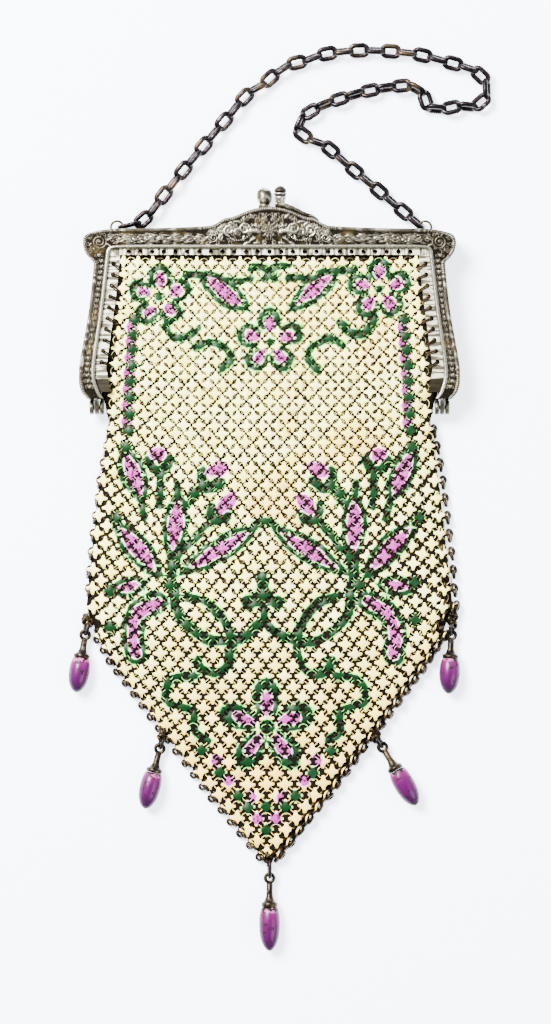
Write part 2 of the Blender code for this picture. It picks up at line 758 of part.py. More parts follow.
def build_end_ring(start, end):
    """The long ring that holds the first link, between its two ends, in the left eye."""
    into_link = (end - start).normalized()
    link_wire = start - into_link * (LINK_WIRE - LINK_BITE) / 2
    hold = link_wire + into_link * ((LINK_WIRE + END_RING_WIRE) / 2 + CLEARANCE)
    eye = Vector((LEFT_EYE_X, flange_top(LEFT_EYE_X) + EYE_RISE))
    grip = eye + Vector((EYE_RADIUS - (EYE_WIRE + END_RING_WIRE) / 2 - CLEARANCE, 0.0))
    lie = hold - grip
    middle = grip.lerp(hold, 0.5)
    ring = oval_ring(lie.length + END_RING_WIRE, LINK_WIDTH, END_RING_WIRE)
    end_ring = add_piece("chain_ring_left", ring, GUNMETAL, 0.35)
    end_ring.rotation_euler = (math.pi / 2, 0.0, math.atan2(lie.y, lie.x))
    end_ring.location = (middle.x, middle.y, EYE_Z)


def bag_half_width(drop):
    """Half width of the bag at a place along it: up to the rails, or its own below them."""
    y = MOUTH_Y - drop * BAG_LENGTH
    if y < -RAIL_END_DROP * HINGE_DROP:
        return between(BAG_SECTIONS, drop, "drop", "half") * BAG_WIDTH / 2
    corner = CORNER_SECTIONS[0].inner_x * HALF_WIDTH
    inner = corner if y > -ARM_SECTIONS[-1].drop * HINGE_DROP else arm_inner(y)
    return inner - RAIL_SIDE_WIDTH - CLEARANCE


def bag_side(name, mid, edge, wall_side):
    """One side of the bag: its outer face as a grid, with the wall grown inwards."""
    bm = bmesh.new()
    rows = []
    for row in BAG_SECTIONS:
        half = bag_half_width(row.drop)
        y = MOUTH_Y - row.drop * BAG_LENGTH
        middle = getattr(row, mid) * FRAME_DEPTH
        side = getattr(row, edge) * FRAME_DEPTH
        line = []
        for column in BAG_COLUMNS:
            height = side + (middle - side) * (1 - abs(column) ** BAG_FULLNESS)
            line.append(bm.verts.new((column * half, y, height)))
        rows.append(line)
    for near, far in zip(rows, rows[1:]):
        for index in range(len(near) - 1):
            corners = (near[index], far[index], far[index + 1], near[index + 1])
            bm.faces.new(corners[::wall_side])
    mesh = bpy.data.meshes.new(name)
    bm.to_mesh(mesh)
    bm.free()
    piece = add_piece(name, mesh, CREAM, 0.45, 0.2)
    wall = piece.modifiers.new("wall", "SOLIDIFY")
    wall.thickness = MESH_WALL
    wall.offset = -1.0
    return piece


def drop_places():
    """Centre of the end ring and of the eye, and the direction, of each drop."""
    places = []
    lug_z = BAG_SECTIONS[-1].front_edge * FRAME_DEPTH - MESH_WALL / 2
    for row in DROPS:
        x = row.side * bag_half_width(row.drop)
        y = MOUTH_Y - row.drop * BAG_LENGTH - CLEARANCE
        lug = Vector((x + row.side * CLEARANCE, y, lug_z))
        turn = math.radians(row.turn)
        way = Vector((math.sin(turn), -math.cos(turn), 0.0))
        eye = lug + way * JUMP_REACH * row.reach
        places.append((lug, eye, way))
    return places


def washers(name, radius, wall, sides):
    """Flat discs at all the end rings of the mesh."""
    bm = bmesh.new()
    for lug, _, _ in drop_places():
        prism(bm, sides, radius, wall, Matrix.Translation(lug))
    return add_cutter(name, mesh_from(bm, name))


def build_bag():
    """Front and back of the bag, and the end rings on the front's edge."""
    front = bag_side("mesh_front", "front_mid", "front_edge", 1)
    bag_side("mesh_back", "back_mid", "back_edge", -1)
    combine(front, washers("lugs", LUG_RADIUS, LUG_WALL, 8), "UNION")
    combine(front, washers("lug_holes", LUG_HOLE_RADIUS, 4 * LUG_WALL, 6), "DIFFERENCE")


def build_drop(number, row, lug, eye, way):
    """One drop: its jump ring, its cap with a flat eye, and its bead."""
    length = row.length * DROP_LENGTH
    tag = "_" + str(number)
    middle = lug.lerp(eye, 0.5)
    reach = (eye - lug).length
    ring = oval_ring(reach - LUG_HOLE_RADIUS * 0.4 + JUMP_WIRE, JUMP_WIDTH, JUMP_WIRE)
    jump = add_piece("drop_ring" + tag, ring, GUNMETAL)
    jump.rotation_euler = (math.pi / 2, 0.0, math.atan2(way.y, way.x))
    jump.location = middle

    widest = max(BEAD_PROFILE, key=lambda step: step[1])[0] * length
    lift = math.asin((BEAD_RADIUS + 0.05 * MM - eye.z) / widest)
    axis = way * math.cos(lift) + Vector((0.0, 0.0, math.sin(lift)))
    stand = axis.to_track_quat("-Z", "Y").to_euler()

    profile = [(-place * length, part * FLANGE_RADIUS) for place, part in CAP_PROFILE]
    profile = [(profile[0][0], 0.0)] + profile + [(profile[-1][0], 0.0)]
    cap = turned("drop_cap" + tag, profile, GUNMETAL, 0.4, steps=CAP_STEPS)
    cap.location = eye
    cap.rotation_euler = stand
    for what, radius, wall, operation in (
        ("eye", DROP_EYE_RADIUS, DROP_EYE_WALL, "UNION"),
        ("eye_hole", LUG_HOLE_RADIUS, 4 * DROP_EYE_WALL, "DIFFERENCE"),
    ):
        bm = bmesh.new()
        prism(bm, 8 if operation == "UNION" else 6, radius, wall, Matrix.Translation(eye))
        name = what + tag
        combine(cap, add_cutter(name, mesh_from(bm, name)), operation)

    profile = [(-place * length, part * BEAD_RADIUS) for place, part in BEAD_PROFILE]
    top = -(CAP_PROFILE[-1][0] * length + CLEARANCE)
    profile = [(top, 0.0), (top, profile[0][1])] + profile[1:] + [(-length, 0.0)]
    bead = turned("drop_bead" + tag, profile, MAGENTA, 0.12, 0.0)
    bead.location = eye
    bead.rotation_euler = stand


def build_drops():
    """All five drops."""
    for number, (row, (lug, eye, way)) in enumerate(zip(DROPS, drop_places()), 1):
        build_drop(number, row, lug, eye, way)


def gather():
    """Parent every piece to one empty at the origin."""
    root = bpy.data.objects.new("purse", None)
    PURSE.objects.link(root)
    for piece in PURSE.objects:
        if piece is not root:
            piece.parent = root


build_frame()
build_rails()
build_clasp()
build_chain()
build_bag()
build_drops()
gather()
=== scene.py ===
import math
import random

import bmesh
import bpy
import numpy as np
from mathutils import Matrix, Vector, kdtree
from mathutils.bvhtree import BVHTree


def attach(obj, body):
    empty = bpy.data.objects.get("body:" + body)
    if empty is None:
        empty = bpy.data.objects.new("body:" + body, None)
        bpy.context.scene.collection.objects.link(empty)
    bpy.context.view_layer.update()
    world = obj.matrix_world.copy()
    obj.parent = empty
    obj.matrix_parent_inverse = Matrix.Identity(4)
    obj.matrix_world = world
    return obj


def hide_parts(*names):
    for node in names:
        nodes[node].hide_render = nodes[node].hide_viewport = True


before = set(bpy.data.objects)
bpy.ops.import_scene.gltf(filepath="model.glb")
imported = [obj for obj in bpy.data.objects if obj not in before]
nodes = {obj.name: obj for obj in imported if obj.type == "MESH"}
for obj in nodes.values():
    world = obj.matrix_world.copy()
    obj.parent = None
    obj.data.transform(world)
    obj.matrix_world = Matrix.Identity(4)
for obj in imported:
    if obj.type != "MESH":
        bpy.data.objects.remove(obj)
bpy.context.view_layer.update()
mm = 0.001
print("stage: frame loaded")


# Colours, materials and nodes

def tint(code):
    channels = [int(code[index:index + 2], 16) / 255 for index in (1, 3, 5)]
    linear = [c / 12.92 if c <= 0.04045 else ((c + 0.055) / 1.055) ** 2.4 for c in channels]
    return (*linear, 1.0)


class Nodes:
    # A short way to write shader nodes: inputs are sockets, plain values or colour codes.
    def __init__(self, owner, shader="Principled BSDF"):
        self.owner = owner
        owner.use_nodes = True
        self.tree = owner.node_tree
        self.shader = self.tree.nodes[shader]

    def add(self, kind, inputs=None, **settings):
        node = self.tree.nodes.new("ShaderNode" + kind)
        for key, value in settings.items():
            setattr(node, key, value)
        for key, value in (inputs or {}).items():
            self.feed(node.inputs[key], value)
        return node

    def feed(self, socket, value):
        if isinstance(value, bpy.types.NodeSocket):
            self.tree.links.new(value, socket)
        else:
            socket.default_value = tint(value) if isinstance(value, str) else value

    def set(self, **values):
        names = {"colour": "Base Color", "rough": "Roughness", "metal": "Metallic",
                 "bump": "Normal", "coat": "Coat Weight", "coatRough": "Coat Roughness",
                 "spec": "Specular IOR Level", "glow": "Emission Strength",
                 "glowColour": "Emission Color"}
        for key, value in values.items():
            self.feed(self.shader.inputs[names[key]], value)
        return self.owner

    def attribute(self, name):
        return self.add("Attribute", attribute_name=name).outputs["Fac"]

    def place(self):
        return self.add("TexCoord").outputs["Object"]

    def noise(self, scale, detail=3.0, rough=0.55, stretch=None):
        where = self.place()
        if stretch:
            where = self.add("Mapping", {"Vector": where, "Scale": stretch}).outputs[0]
        spread = {"Vector": where, "Scale": scale, "Detail": detail, "Roughness": rough}
        return self.add("TexNoise", spread).outputs["Fac"]

    def math(self, operation, *values):
        return self.add("Math", dict(enumerate(values)), operation=operation).outputs[0]

    def span(self, value, low, high, start=0.0, end=1.0, smooth=True):
        kind = "SMOOTHSTEP" if smooth else "LINEAR"
        inputs = {"Value": value, "From Min": low, "From Max": high,
                  "To Min": start, "To Max": end}
        return self.add("MapRange", inputs, interpolation_type=kind).outputs[0]

    def mix(self, factor, a, b):
        return self.add("Mix", {0: factor, 6: a, 7: b}, data_type="RGBA").outputs[2]

    def bump(self, height, distance, strength=1.0):
        inputs = {"Height": height, "Distance": distance, "Strength": strength}
        return self.add("Bump", inputs).outputs[0]

    def upward(self):
        normal = self.add("NewGeometry").outputs["Normal"]
        return self.add("SeparateXYZ", {0: normal}).outputs[2]


def placed(name, data):
    made = bpy.data.objects.new(name, data)
    bpy.context.scene.collection.objects.link(made)
    return made


def dress(name, mesh, material, stands=(), smooth=True):
    # Puts a finished mesh in the scene as a piece that rides on the purse.
    mesh.materials.clear()
    mesh.materials.append(material)
    mesh.polygons.foreach_set("use_smooth", [smooth] * len(mesh.polygons))
    mesh.update()
    made = placed(name, mesh)
    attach(made, "root")
    if stands:
        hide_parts(*stands)


def newMesh(verts, faces):
    mesh = bpy.data.meshes.new("shape")
    mesh.from_pydata(verts, [], faces)
    return mesh


def outward(mesh):
    # Turns the faces of a closed mesh outwards.
    bm = bmesh.new()
    bm.from_mesh(mesh)
    bmesh.ops.recalc_face_normals(bm, faces=bm.faces[:])
    bm.to_mesh(mesh)
    bm.free()
    return mesh


def joined(meshes):
    bm = bmesh.new()
    for mesh in meshes:
        bm.from_mesh(mesh)
        bpy.data.meshes.remove(mesh)
    mesh = bpy.data.meshes.new("joined")
    bm.to_mesh(mesh)
    bm.free()
    return mesh


def plainMesh(carrier, *helpers):
    # The carrier's finished shape as a plain mesh; these objects are removed.
    seen = carrier.evaluated_get(bpy.context.evaluated_depsgraph_get())
    mesh = bpy.data.meshes.new_from_object(seen)
    for thing in (carrier, *helpers):
        bpy.data.objects.remove(thing)
    return mesh


def marked(mesh, name, values, vector=False):
    # Gives every vertex a number, or a vector, that nodes read by this name.
    field = mesh.attributes.new(name, "FLOAT_VECTOR" if vector else "FLOAT", "POINT")
    flat = np.asarray(values, dtype=np.float32).ravel()
    field.data.foreach_set("vector" if vector else "value", flat)
    return mesh


def readAll(items, name, width=1, kind=np.float32):
    # One property of all vertices, corners or faces.
    values = np.empty(len(items) * width, dtype=kind)
    items.foreach_get(name, values)
    return values.reshape(-1, width) if width > 1 else values


def ringMesh(sections, closed=True, way=1):
    # Skin between sections, which are lists of equally many points; way -1 turns it round.
    count = len(sections[0])
    verts = [point for section in sections for point in section]
    faces = []
    rows = len(sections)
    for row in range(rows if closed else rows - 1):
        near, far = row * count, ((row + 1) % rows) * count
        for index in range(count):
            after = (index + 1) % count
            faces.append((near + index, near + after, far + after, far + index)[::way])
    if not closed:
        faces.append(tuple(range(count))[::-way])
        faces.append(tuple(range((rows - 1) * count, rows * count))[::way])
    return newMesh(verts, faces)


def laidAt(x, y, z, heading=0.0, roll=0.0):
    # A place in millimetres, with a turn in the plane after one about the length.
    spot = Matrix.Translation((x * mm, y * mm, z * mm))
    return spot @ Matrix.Rotation(heading, 4, "Z") @ Matrix.Rotation(roll, 4, "X")


def wireRing(length, width, wire, steps=28, sides=8):
    # A stadium of round wire in the XY plane, long along X.
    radius = (width - wire) / 2
    straight = max((length - width) / 2, 0.0)
    sections = []
    for step in range(steps):
        angle = 2 * math.pi * (step + 0.5) / steps
        out = Vector((math.cos(angle), math.sin(angle), 0.0))
        middle = out * radius + Vector((math.copysign(straight, out.x), 0.0, 0.0))
        section = []
        for side in range(sides):
            turn = 2 * math.pi * side / sides
            section.append(middle + wire / 2 * (out * math.cos(turn)
                                                + Vector((0, 0, math.sin(turn)))))
        sections.append(section)
    return ringMesh(sections)


def turnedMesh(profile, steps=40):
    # A profile of height along -Y and radius, turned about Y; the ends close at radius 0.
    verts, faces, rows = [], [], []
    for height, radius in profile:
        if radius < 1e-7:
            rows.append([len(verts)])
            verts.append((0.0, height, 0.0))
            continue
        rows.append(list(range(len(verts), len(verts) + steps)))
        for step in range(steps):
            angle = 2 * math.pi * step / steps
            verts.append((radius * math.cos(angle), height, radius * math.sin(angle)))
    for near, far in zip(rows, rows[1:]):
        for step in range(steps):
            after = (step + 1) % steps
            if len(near) == 1:
                faces.append((near[0], far[after], far[step]))
            elif len(far) == 1:
                faces.append((near[step], near[after], far[0]))
            else:
                faces.append((near[step], near[after], far[after], far[step]))
    return outward(newMesh(verts, faces))


def smoothLine(points, steps):
    # Points on a smooth curve through the given ones of the plan.
    spots = [Vector((x, y, 0.0)) for x, y in points]
    padded = [2 * spots[0] - spots[1]] + spots + [2 * spots[-1] - spots[-2]]
    line = []
    for a, b, c, d in zip(padded, padded[1:], padded[2:], padded[3:]):
        for step in range(steps):
            t = step / steps
            line.append(0.5 * (2 * b + (c - a) * t + (2 * a - 5 * b + 4 * c - d) * t ** 2
                               + (3 * b - a - 3 * c + d) * t ** 3))
    return line + [spots[-1]]


# Camera, light and floor

view = {"middleX": 2.0, "middleY": -90.9, "distance": 1200.0, "height": 342.2, "level": 4.0,
        "sensor": 36.0}
camera = placed("camera", bpy.data.cameras.new("camera"))
camera.location = (view["middleX"] * mm, view["middleY"] * mm, view["distance"] * mm)
camera.data.sensor_fit = "VERTICAL"
camera.data.sensor_height = view["sensor"]
camera.data.lens = view["sensor"] * (view["distance"] - view["level"]) / view["height"]
camera.data.clip_start = 0.01
bpy.context.scene.camera = camera

light = {"sky": 2.2, "skyLow": 0.25, "skyHigh": 1.6, "skyColour": "#F2F6FC", "hood": 0.10,
         "key": 120.0, "keySize": 0.5, "fill": 16.0, "fillSize": 0.8, "aim": (0.0, -0.08, 0.0)}


def areaLamp(name, spot, size, power, colour):
    lamp = bpy.data.lights.new(name, "AREA")
    lamp.size = size
    lamp.energy = power
    lamp.color = colour
    holder = placed(name, lamp)
    holder.location = spot
    way = Vector(light["aim"]) - Vector(spot)
    holder.rotation_euler = way.to_track_quat("-Z", "Y").to_euler()


areaLamp("keyLamp", (-0.55, 0.45, 0.95), light["keySize"], light["key"], (1.0, 0.985, 0.96))
areaLamp("fillLamp", (0.8, -0.5, 0.9), light["fillSize"], light["fill"], (0.93, 0.96, 1.0))

world = bpy.data.worlds.new("studio")
bpy.context.scene.world = world
sky = Nodes(world, "Background")
heading = sky.add("SeparateXYZ", {0: sky.add("TexCoord").outputs["Generated"]}).outputs
ramp = sky.span(heading[1], -0.9, 0.9, light["skyLow"], light["skyHigh"], smooth=False)
# The room is dark right above the purse, where a camera would hang
hood = sky.span(heading[2], 0.78, 0.97, 1.0, light["hood"])
glow = sky.math("MULTIPLY", sky.math("MULTIPLY", ramp, light["sky"]), hood)
sky.feed(sky.shader.inputs["Color"], light["skyColour"])
sky.feed(sky.shader.inputs["Strength"], glow)

floorLook = {"colour": "#EDF3FA", "glowColour": "#E6F0FF", "glow": 2.8, "size": 4.0}
paper = Nodes(bpy.data.materials.new("floorPaper"))
paper.set(colour=floorLook["colour"], rough=0.75, spec=0.2,
          glowColour=floorLook["glowColour"], glow=floorLook["glow"])
reach = floorLook["size"]
corners = [(-reach, -reach, 0.0), (reach, -reach, 0.0), (reach, reach, 0.0), (-reach, reach, 0.0)]
floor = placed("floor", newMesh(corners, [(0, 1, 2, 3)]))
floor.data.materials.append(paper.owner)
print("stage: camera and light")


# Metals

silver = {"low": "#0D0B08", "mid": "#3C382F", "high": "#B6B2A0", "gold": "#5A4C28"}


def antiqueSilver(name, look=silver, goldAmount=0.2, relief=True, dark=0.0):
    # Silver plate: dark in the low places, bright on the high ones, golden in patches.
    n = Nodes(bpy.data.materials.new(name))
    broad = n.noise(180.0, 4.0)
    fine = n.noise(1500.0, 3.0, 0.6)
    level = n.attribute("level") if relief else n.span(n.noise(420.0, 4.0), 0.34, 0.66)
    worn = n.math("MULTIPLY_ADD", fine, 0.35, n.math("ADD", level, -0.2 - dark))
    low = n.span(worn, 0.02, 0.42)
    high = n.span(worn, 0.48, 0.92)
    colour = n.mix(low, look["low"], look["mid"])
    colour = n.mix(high, colour, look["high"])
    gold = n.span(broad, 0.52, 0.68, 0.0, goldAmount)
    colour = n.mix(gold, colour, look["gold"])
    rough = n.span(worn, 0.0, 0.9, 0.55, 0.26)
    height = n.math("ADD", fine, n.math("MULTIPLY", n.noise(4200.0, 2.0), 0.5))
    return n.set(colour=colour, rough=rough, metal=1.0, bump=n.bump(height, 0.00006, 0.8))


railLook = {"bright": "#EDE7D0", "dark": "#443F30", "patch": "#8E8668", "end": "#181204"}


def brightSilver():
    n = Nodes(bpy.data.materials.new("railSilver"))
    # Strokes run across the strip: upright along the top, level down the sides
    upright = n.noise(950.0, 3.0, 0.6, (1.0, 0.12, 1.0))
    level = n.noise(950.0, 3.0, 0.6, (0.12, 1.0, 1.0))
    patch = n.noise(260.0, 3.0)
    spot = n.add("SeparateXYZ", {0: n.place()})
    atSide = n.span(spot.outputs[1], -0.0052, -0.0058)
    streak = n.add("Mix", {0: atSide, 2: upright, 3: level}).outputs[0]
    toHinge = n.span(spot.outputs[1], -0.0462, -0.0468)
    colour = n.mix(n.span(streak, 0.43, 0.56), railLook["bright"], railLook["dark"])
    colour = n.mix(n.span(patch, 0.60, 0.72, 0.0, 0.5), colour, railLook["patch"])
    colour = n.mix(toHinge, colour, railLook["end"])
    return n.set(colour=colour, rough=n.span(streak, 0.3, 0.7, 0.34, 0.5), metal=0.75,
                 bump=n.bump(n.math("ADD", streak, patch), 0.00015, 0.6))


def gunmetal(name, low="#1D1918", mid="#4F4844", high="#8C837A"):
    n = Nodes(bpy.data.materials.new(name))
    wear = n.noise(700.0, 4.0, 0.6)
    broad = n.noise(120.0, 2.0)
    colour = n.mix(n.span(wear, 0.35, 0.6), low, mid)
    colour = n.mix(n.span(wear, 0.60, 0.75), colour, high)
    colour = n.mix(n.span(broad, 0.5, 0.7, 0.0, 0.4), colour, "#5A4A33")
    return n.set(colour=colour, rough=n.span(wear, 0.3, 0.7, 0.42, 0.26), metal=1.0,
                 bump=n.bump(n.noise(2600.0, 3.0), 0.00006, 0.7))


chainMetal = gunmetal("chainMetal", "#0D0A0B", "#241F21", "#625A5C")
capMetal = gunmetal("capMetal", "#0C0A08", "#2A241C", "#7E735C")
pinMetal = antiqueSilver("pinSilver", relief=False, goldAmount=0.7)


# Heights of the shapes that the fine work lies on

def castHeight(name, fromAbove):
    node = nodes[name]
    verts = [node.matrix_world @ v.co for v in node.data.vertices]
    tree = BVHTree.FromPolygons(verts, [tuple(p.vertices) for p in node.data.polygons])
    start, way = (0.05, -1.0) if fromAbove else (-0.05, 1.0)

    def height(x, y):
        # Past the shape's edge the ray is drawn towards its middle
        for pull in (1.0, 0.97, 0.93, 0.87, 0.78, 0.6, 0.3):
            hit = tree.ray_cast(Vector((x * pull, y, start)), Vector((0.0, 0.0, way)))
            if hit[0] is not None:
                return hit[0].z
        return tree.find_nearest(Vector((x, y, 0.0)))[0].z
    return height


# The plates and rings of the bag, in millimetres

bag = {
    "seed": 11, "firstRow": -8.1, "tipRow": -204.8, "pointRows": 19, "pointShift": -1.0,
    "length": 207.0, "topSize": 0.86, "lowSize": 1.10, "starReach": 2.32, "thick": 0.30,
    "dome": 0.22, "curl": 0.28, "tilt": 5.0, "turn": 4.0, "stray": 0.12, "rise": 0.06,
    "ringWidth": 3.85, "ringWire": 0.36, "ringDrop": 0.38,
}
# Half the bag's width at each height
bagEdge = ((-5.7, 49.4), (-24.6, 51.4), (-37.9, 53.3), (-59.5, 54.4), (-65.9, 56.0),
           (-78.0, 57.6), (-97.0, 60.0), (-122.6, 62.7), (-130.0, 59.8), (-141.9, 53.1),
           (-155.0, 43.4), (-185.0, 21.0), (-207.2, 3.0))
# A quarter of a plate's outline
starQuarter = ((2.40, 0.0), (2.32, 0.40), (1.50, 0.58), (0.87, 0.87), (0.58, 1.50),
               (0.40, 2.32), (0.0, 2.40))
# Height, half a column, a row, and how much higher the rows lie at the edges
latticeSteps = ((-5.0, 2.42, 2.50, 0.2), (-17.4, 2.44, 2.52, 1.8), (-32.4, 2.51, 2.56, 2.5),
                (-47.5, 2.57, 2.64, 2.5), (-62.5, 2.60, 2.77, 2.4), (-77.5, 2.66, 2.91, 2.4),
                (-92.6, 2.74, 3.01, 2.4), (-107.6, 2.81, 3.16, 2.7), (-122.7, 2.89, 3.28, 3.3),
                (-134.0, 2.93, 3.44, 3.5), (-152.7, 3.01, 3.58, 2.5), (-167.8, 3.08, 3.69, 1.7),
                (-182.8, 3.16, 3.80, 0.9), (-207.0, 3.40, 3.86, 0.0))
# How far the middle of the mesh and its print lies to the side at each height
axisPath = ((-63.5, 0.0), (-93.9, -1.5), (-113.6, -2.34), (-133.7, -1.84),
            (-162.8, -0.84), (-187.2, -0.17), (-197.0, 0.1), (-205.0, -0.9))
# How near to the bag's edge the middle of a plate may lie at each height
plateLimit = ((-5.0, 0.9), (-56.0, 0.9), (-60.0, 1.4), (-118.0, 1.4), (-126.0, 3.4),
              (-132.0, 3.2), (-138.0, 1.0), (-207.0, 0.0))


def readTable(table, y, column=1):
    return np.interp(-y, [-row[0] for row in table], [row[column] for row in table])


def latticeRows():
    # Heights of the rows along the middle; the last one is the single plate at the tip.
    rows = [bag["firstRow"]]
    while rows[-1] > bag["tipRow"] + 1.0:
        rows.append(rows[-1] - readTable(latticeSteps, rows[-1], 2))
    spread = (bag["tipRow"] - rows[0]) / (rows[-1] - rows[0])
    return [rows[0] + (y - rows[0]) * spread for y in rows]


meshRows = latticeRows()


def latticeMiddle(y, across=0.0):
    # The mesh hangs a little askew: how far its middle lies to the side.
    point = np.interp(-y, (118.0, 145.0), (0.0, 1.0))
    bend = readTable(axisPath, y) * (1 - across ** 2)
    return bend * (1 - point) + bag["pointShift"] * point


def latticeSpot(row, place, shift=(0.0, 0.0)):
    y = meshRows[row]
    column = readTable(latticeSteps, y)
    across = min(abs(place * column / readTable(bagEdge, y)), 1.0)
    high = y + readTable(latticeSteps, y, 3) * across ** 4
    # Below the frame the outer columns lie wider
    wide = 0.05 * across ** 4 * np.interp(-y, (62.0, 85.0, 115.0, 128.0), (0.0, 1.0, 1.0, 0.0))
    x = place * column * (1 + wide) + latticeMiddle(y, across) + shift[0]
    return x, high + shift[1], min(-y / bag["length"], 1.0)


def latticeSpots(parity, shift=(0.0, 0.0)):
    # Places of the plates (parity 0) or of the rings between them (parity 1).
    spots = []
    for row, y in enumerate(meshRows):
        span = len(meshRows) - 1 - row
        count = int(readTable(bagEdge, y) / readTable(latticeSteps, y)) + 2
        if span <= bag["pointRows"]:
            count = span
        for place in range(-count, count + 1):
            if (place + row) % 2 != parity:
                continue
            x, high, share = latticeSpot(row, place, shift)
            inset = readTable(plateLimit, y) + 1.1 * parity
            if abs(x) <= readTable(bagEdge, high) - inset and high < bag["firstRow"] + 0.7:
                spots.append((x, high, share))
    return spots


def starPlate(detailed=True):
    # One blunt four-pointed plate, its tips bent down, with its paint rim marked.
    rim = []
    for fromTip, sx, sy in ((False, 1, 1), (True, -1, 1), (False, -1, -1), (True, 1, -1)):
        part = starQuarter[::-1] if fromTip else starQuarter
        rim += [(x * sx, y * sy) for x, y in part[:-1]]
    if not detailed:
        rim = [point for index, point in enumerate(rim) if index % 6 != 2]
    bare = 1.4  # marks the underside and its edge, where no paint is
    verts, edge, rings = [(0.0, 0.0, bag["dome"])], [0.0], []
    for share, down in ((0.88, 0.0), (1.0, -0.15), (1.0, -1.0)):
        rings.append(range(len(verts), len(verts) + len(rim)))
        for x, y in rim:
            far = math.hypot(x, y) / bag["starReach"] * share
            bend = bag["dome"] * (1 - far ** 2) - bag["curl"] * far ** 3
            verts.append((x * share, y * share, bend + down * bag["thick"]))
            edge.append(share if down > -0.5 else bare)
    base = len(verts)
    verts.append((0.0, 0.0, bag["dome"] - bag["thick"]))
    edge.append(bare)
    faces = []
    for index in range(len(rim)):
        after = (index + 1) % len(rim)
        faces.append((0, rings[0][index], rings[0][after]))
        for near, far in zip(rings, rings[1:]):
            faces.append((near[index], far[index], far[after], near[after]))
        faces.append((base, rings[-1][after], rings[-1][index]))
    return marked(newMesh([Vector(v) * mm for v in verts], faces), "edge", edge)


def scatterTree():
    # Puts a piece on every place, turned and sized by the places' own attributes.
    tree = bpy.data.node_groups.new("scatter", "GeometryNodeTree")
    for label, way, kind in (("Places", "INPUT", "Object"), ("Piece", "INPUT", "Object"),
                             ("Finish", "INPUT", "Material"), ("Geometry", "OUTPUT", "Geometry")):
        tree.interface.new_socket(name=label, in_out=way, socket_type="NodeSocket" + kind)

    def add(kind, **feeds):
        node = tree.nodes.new(kind)
        for label, source in feeds.items():
            tree.links.new(source, node.inputs[label])
        return node.outputs

    given = add("NodeGroupInput")
    spots, shape = [add("GeometryNodeObjectInfo", Object=given[label])["Geometry"]
                    for label in ("Places", "Piece")]
    fields = {}
    for name, label in (("turn", "Rotation"), ("size", "Scale")):
        field = tree.nodes.new("GeometryNodeInputNamedAttribute")
        field.data_type = "FLOAT_VECTOR"
        field.inputs["Name"].default_value = name
        fields[label] = field.outputs["Attribute"]
    put = add("GeometryNodeInstanceOnPoints", Points=spots, Instance=shape, **fields)
    real = add("GeometryNodeRealizeInstances", Geometry=put["Instances"])
    finish = add("GeometryNodeSetMaterial", Geometry=real["Geometry"], Material=given["Finish"])
    add("NodeGroupOutput", Geometry=finish["Geometry"])
    return tree


scatter = scatterTree()


def scattered(spots, turns, sizes, tones, template, material):
    # A plain mesh of the template on every spot; spots in metres.
    places = newMesh([tuple(s) for s in spots], [])
    marked(places, "turn", turns, vector=True)
    marked(places, "size", sizes, vector=True)
    marked(places, "tone", tones)
    held = {"Places": placed("places", places), "Piece": placed("template", template)}
    carrier = placed("carrier", bpy.data.meshes.new("carrier"))
    step = carrier.modifiers.new("scatter", "NODES")
    step.node_group = scatter
    for item in scatter.interface.items_tree:
        if item.in_out == "INPUT":
            step[item.identifier] = held.get(item.name, material)
    mesh = plainMesh(carrier, *held.values())
    for name in ("turn", "size"):
        if name in mesh.attributes:
            mesh.attributes.remove(mesh.attributes[name])
    return mesh


def layMesh(height, spots, drop, chance, tilt, turn, loose, side):
    # Places, turns, sizes and tones of plates or rings that follow a surface.
    stray, rise = bag["stray"] * mm, bag["rise"] * mm
    places, turns, sizes, tones = [], [], [], []
    for x, y, share in spots:
        near = 1.3 * mm
        x, y = x * mm, y * mm
        level = height(x, y)
        slopeX = (height(x + near, y) - height(x - near, y)) / (2 * near)
        slopeY = (height(x, y + near) - height(x, y - near)) / (2 * near)
        places.append((x + chance.uniform(-stray, stray), y + chance.uniform(-stray, stray),
                       level - side * drop * mm + chance.uniform(-rise, rise)))
        lean = [math.radians(chance.gauss(0, tilt)) for _ in range(2)]
        turns.append((math.atan(slopeY) + lean[0], -math.atan(slopeX) + lean[1],
                      math.radians(chance.gauss(0, turn))))
        size = bag["topSize"] + (bag["lowSize"] - bag["topSize"]) * share
        sizes.append((size * chance.uniform(1 - loose, 1 + loose),
                      size * chance.uniform(1 - loose, 1 + loose), 1.0))
        tones.append(chance.random())
    return places, turns, sizes, tones


# The painted flowers, in millimetres: the left half, which the print mirrors

# Middle, reach of the petals, their half length and half width

flowers = (((-36.5, -18.1), 5.6, 2.2, 1.55), ((0.0, -34.3), 5.9, 2.4, 1.55),
           ((0.0, -162.5), 7.8, 4.0, 1.8))
# Both tips and half the width
leaves = (((-20.7, -12.6), (-9.2, -21.9), 2.0), ((-48.0, -71.2), (-42.1, -85.1), 2.2),
          ((-29.3, -87.4), (-30.1, -103.8), 2.2), ((-48.5, -96.4), (-35.8, -110.3), 2.3),
          ((-5.8, -97.9), (-24.4, -109.6), 2.0), ((-48.6, -116.3), (-40.8, -115.2), 1.4))
# Pink tufts without an outline: middle, half length, half width and slope in degrees
tufts = (((-36.9, -71.6), 2.9, 2.3, 0), ((-16.7, -76.7), 3.6, 2.2, 25),
         ((-13.2, -88.2), 3.9, 2.1, 50))
curvedLeaf = ((-35.1, -120.8), (-41.4, -124.2), (-43.8, -129.3), (-43.9, -133.7),
              (-42.9, -138.4))
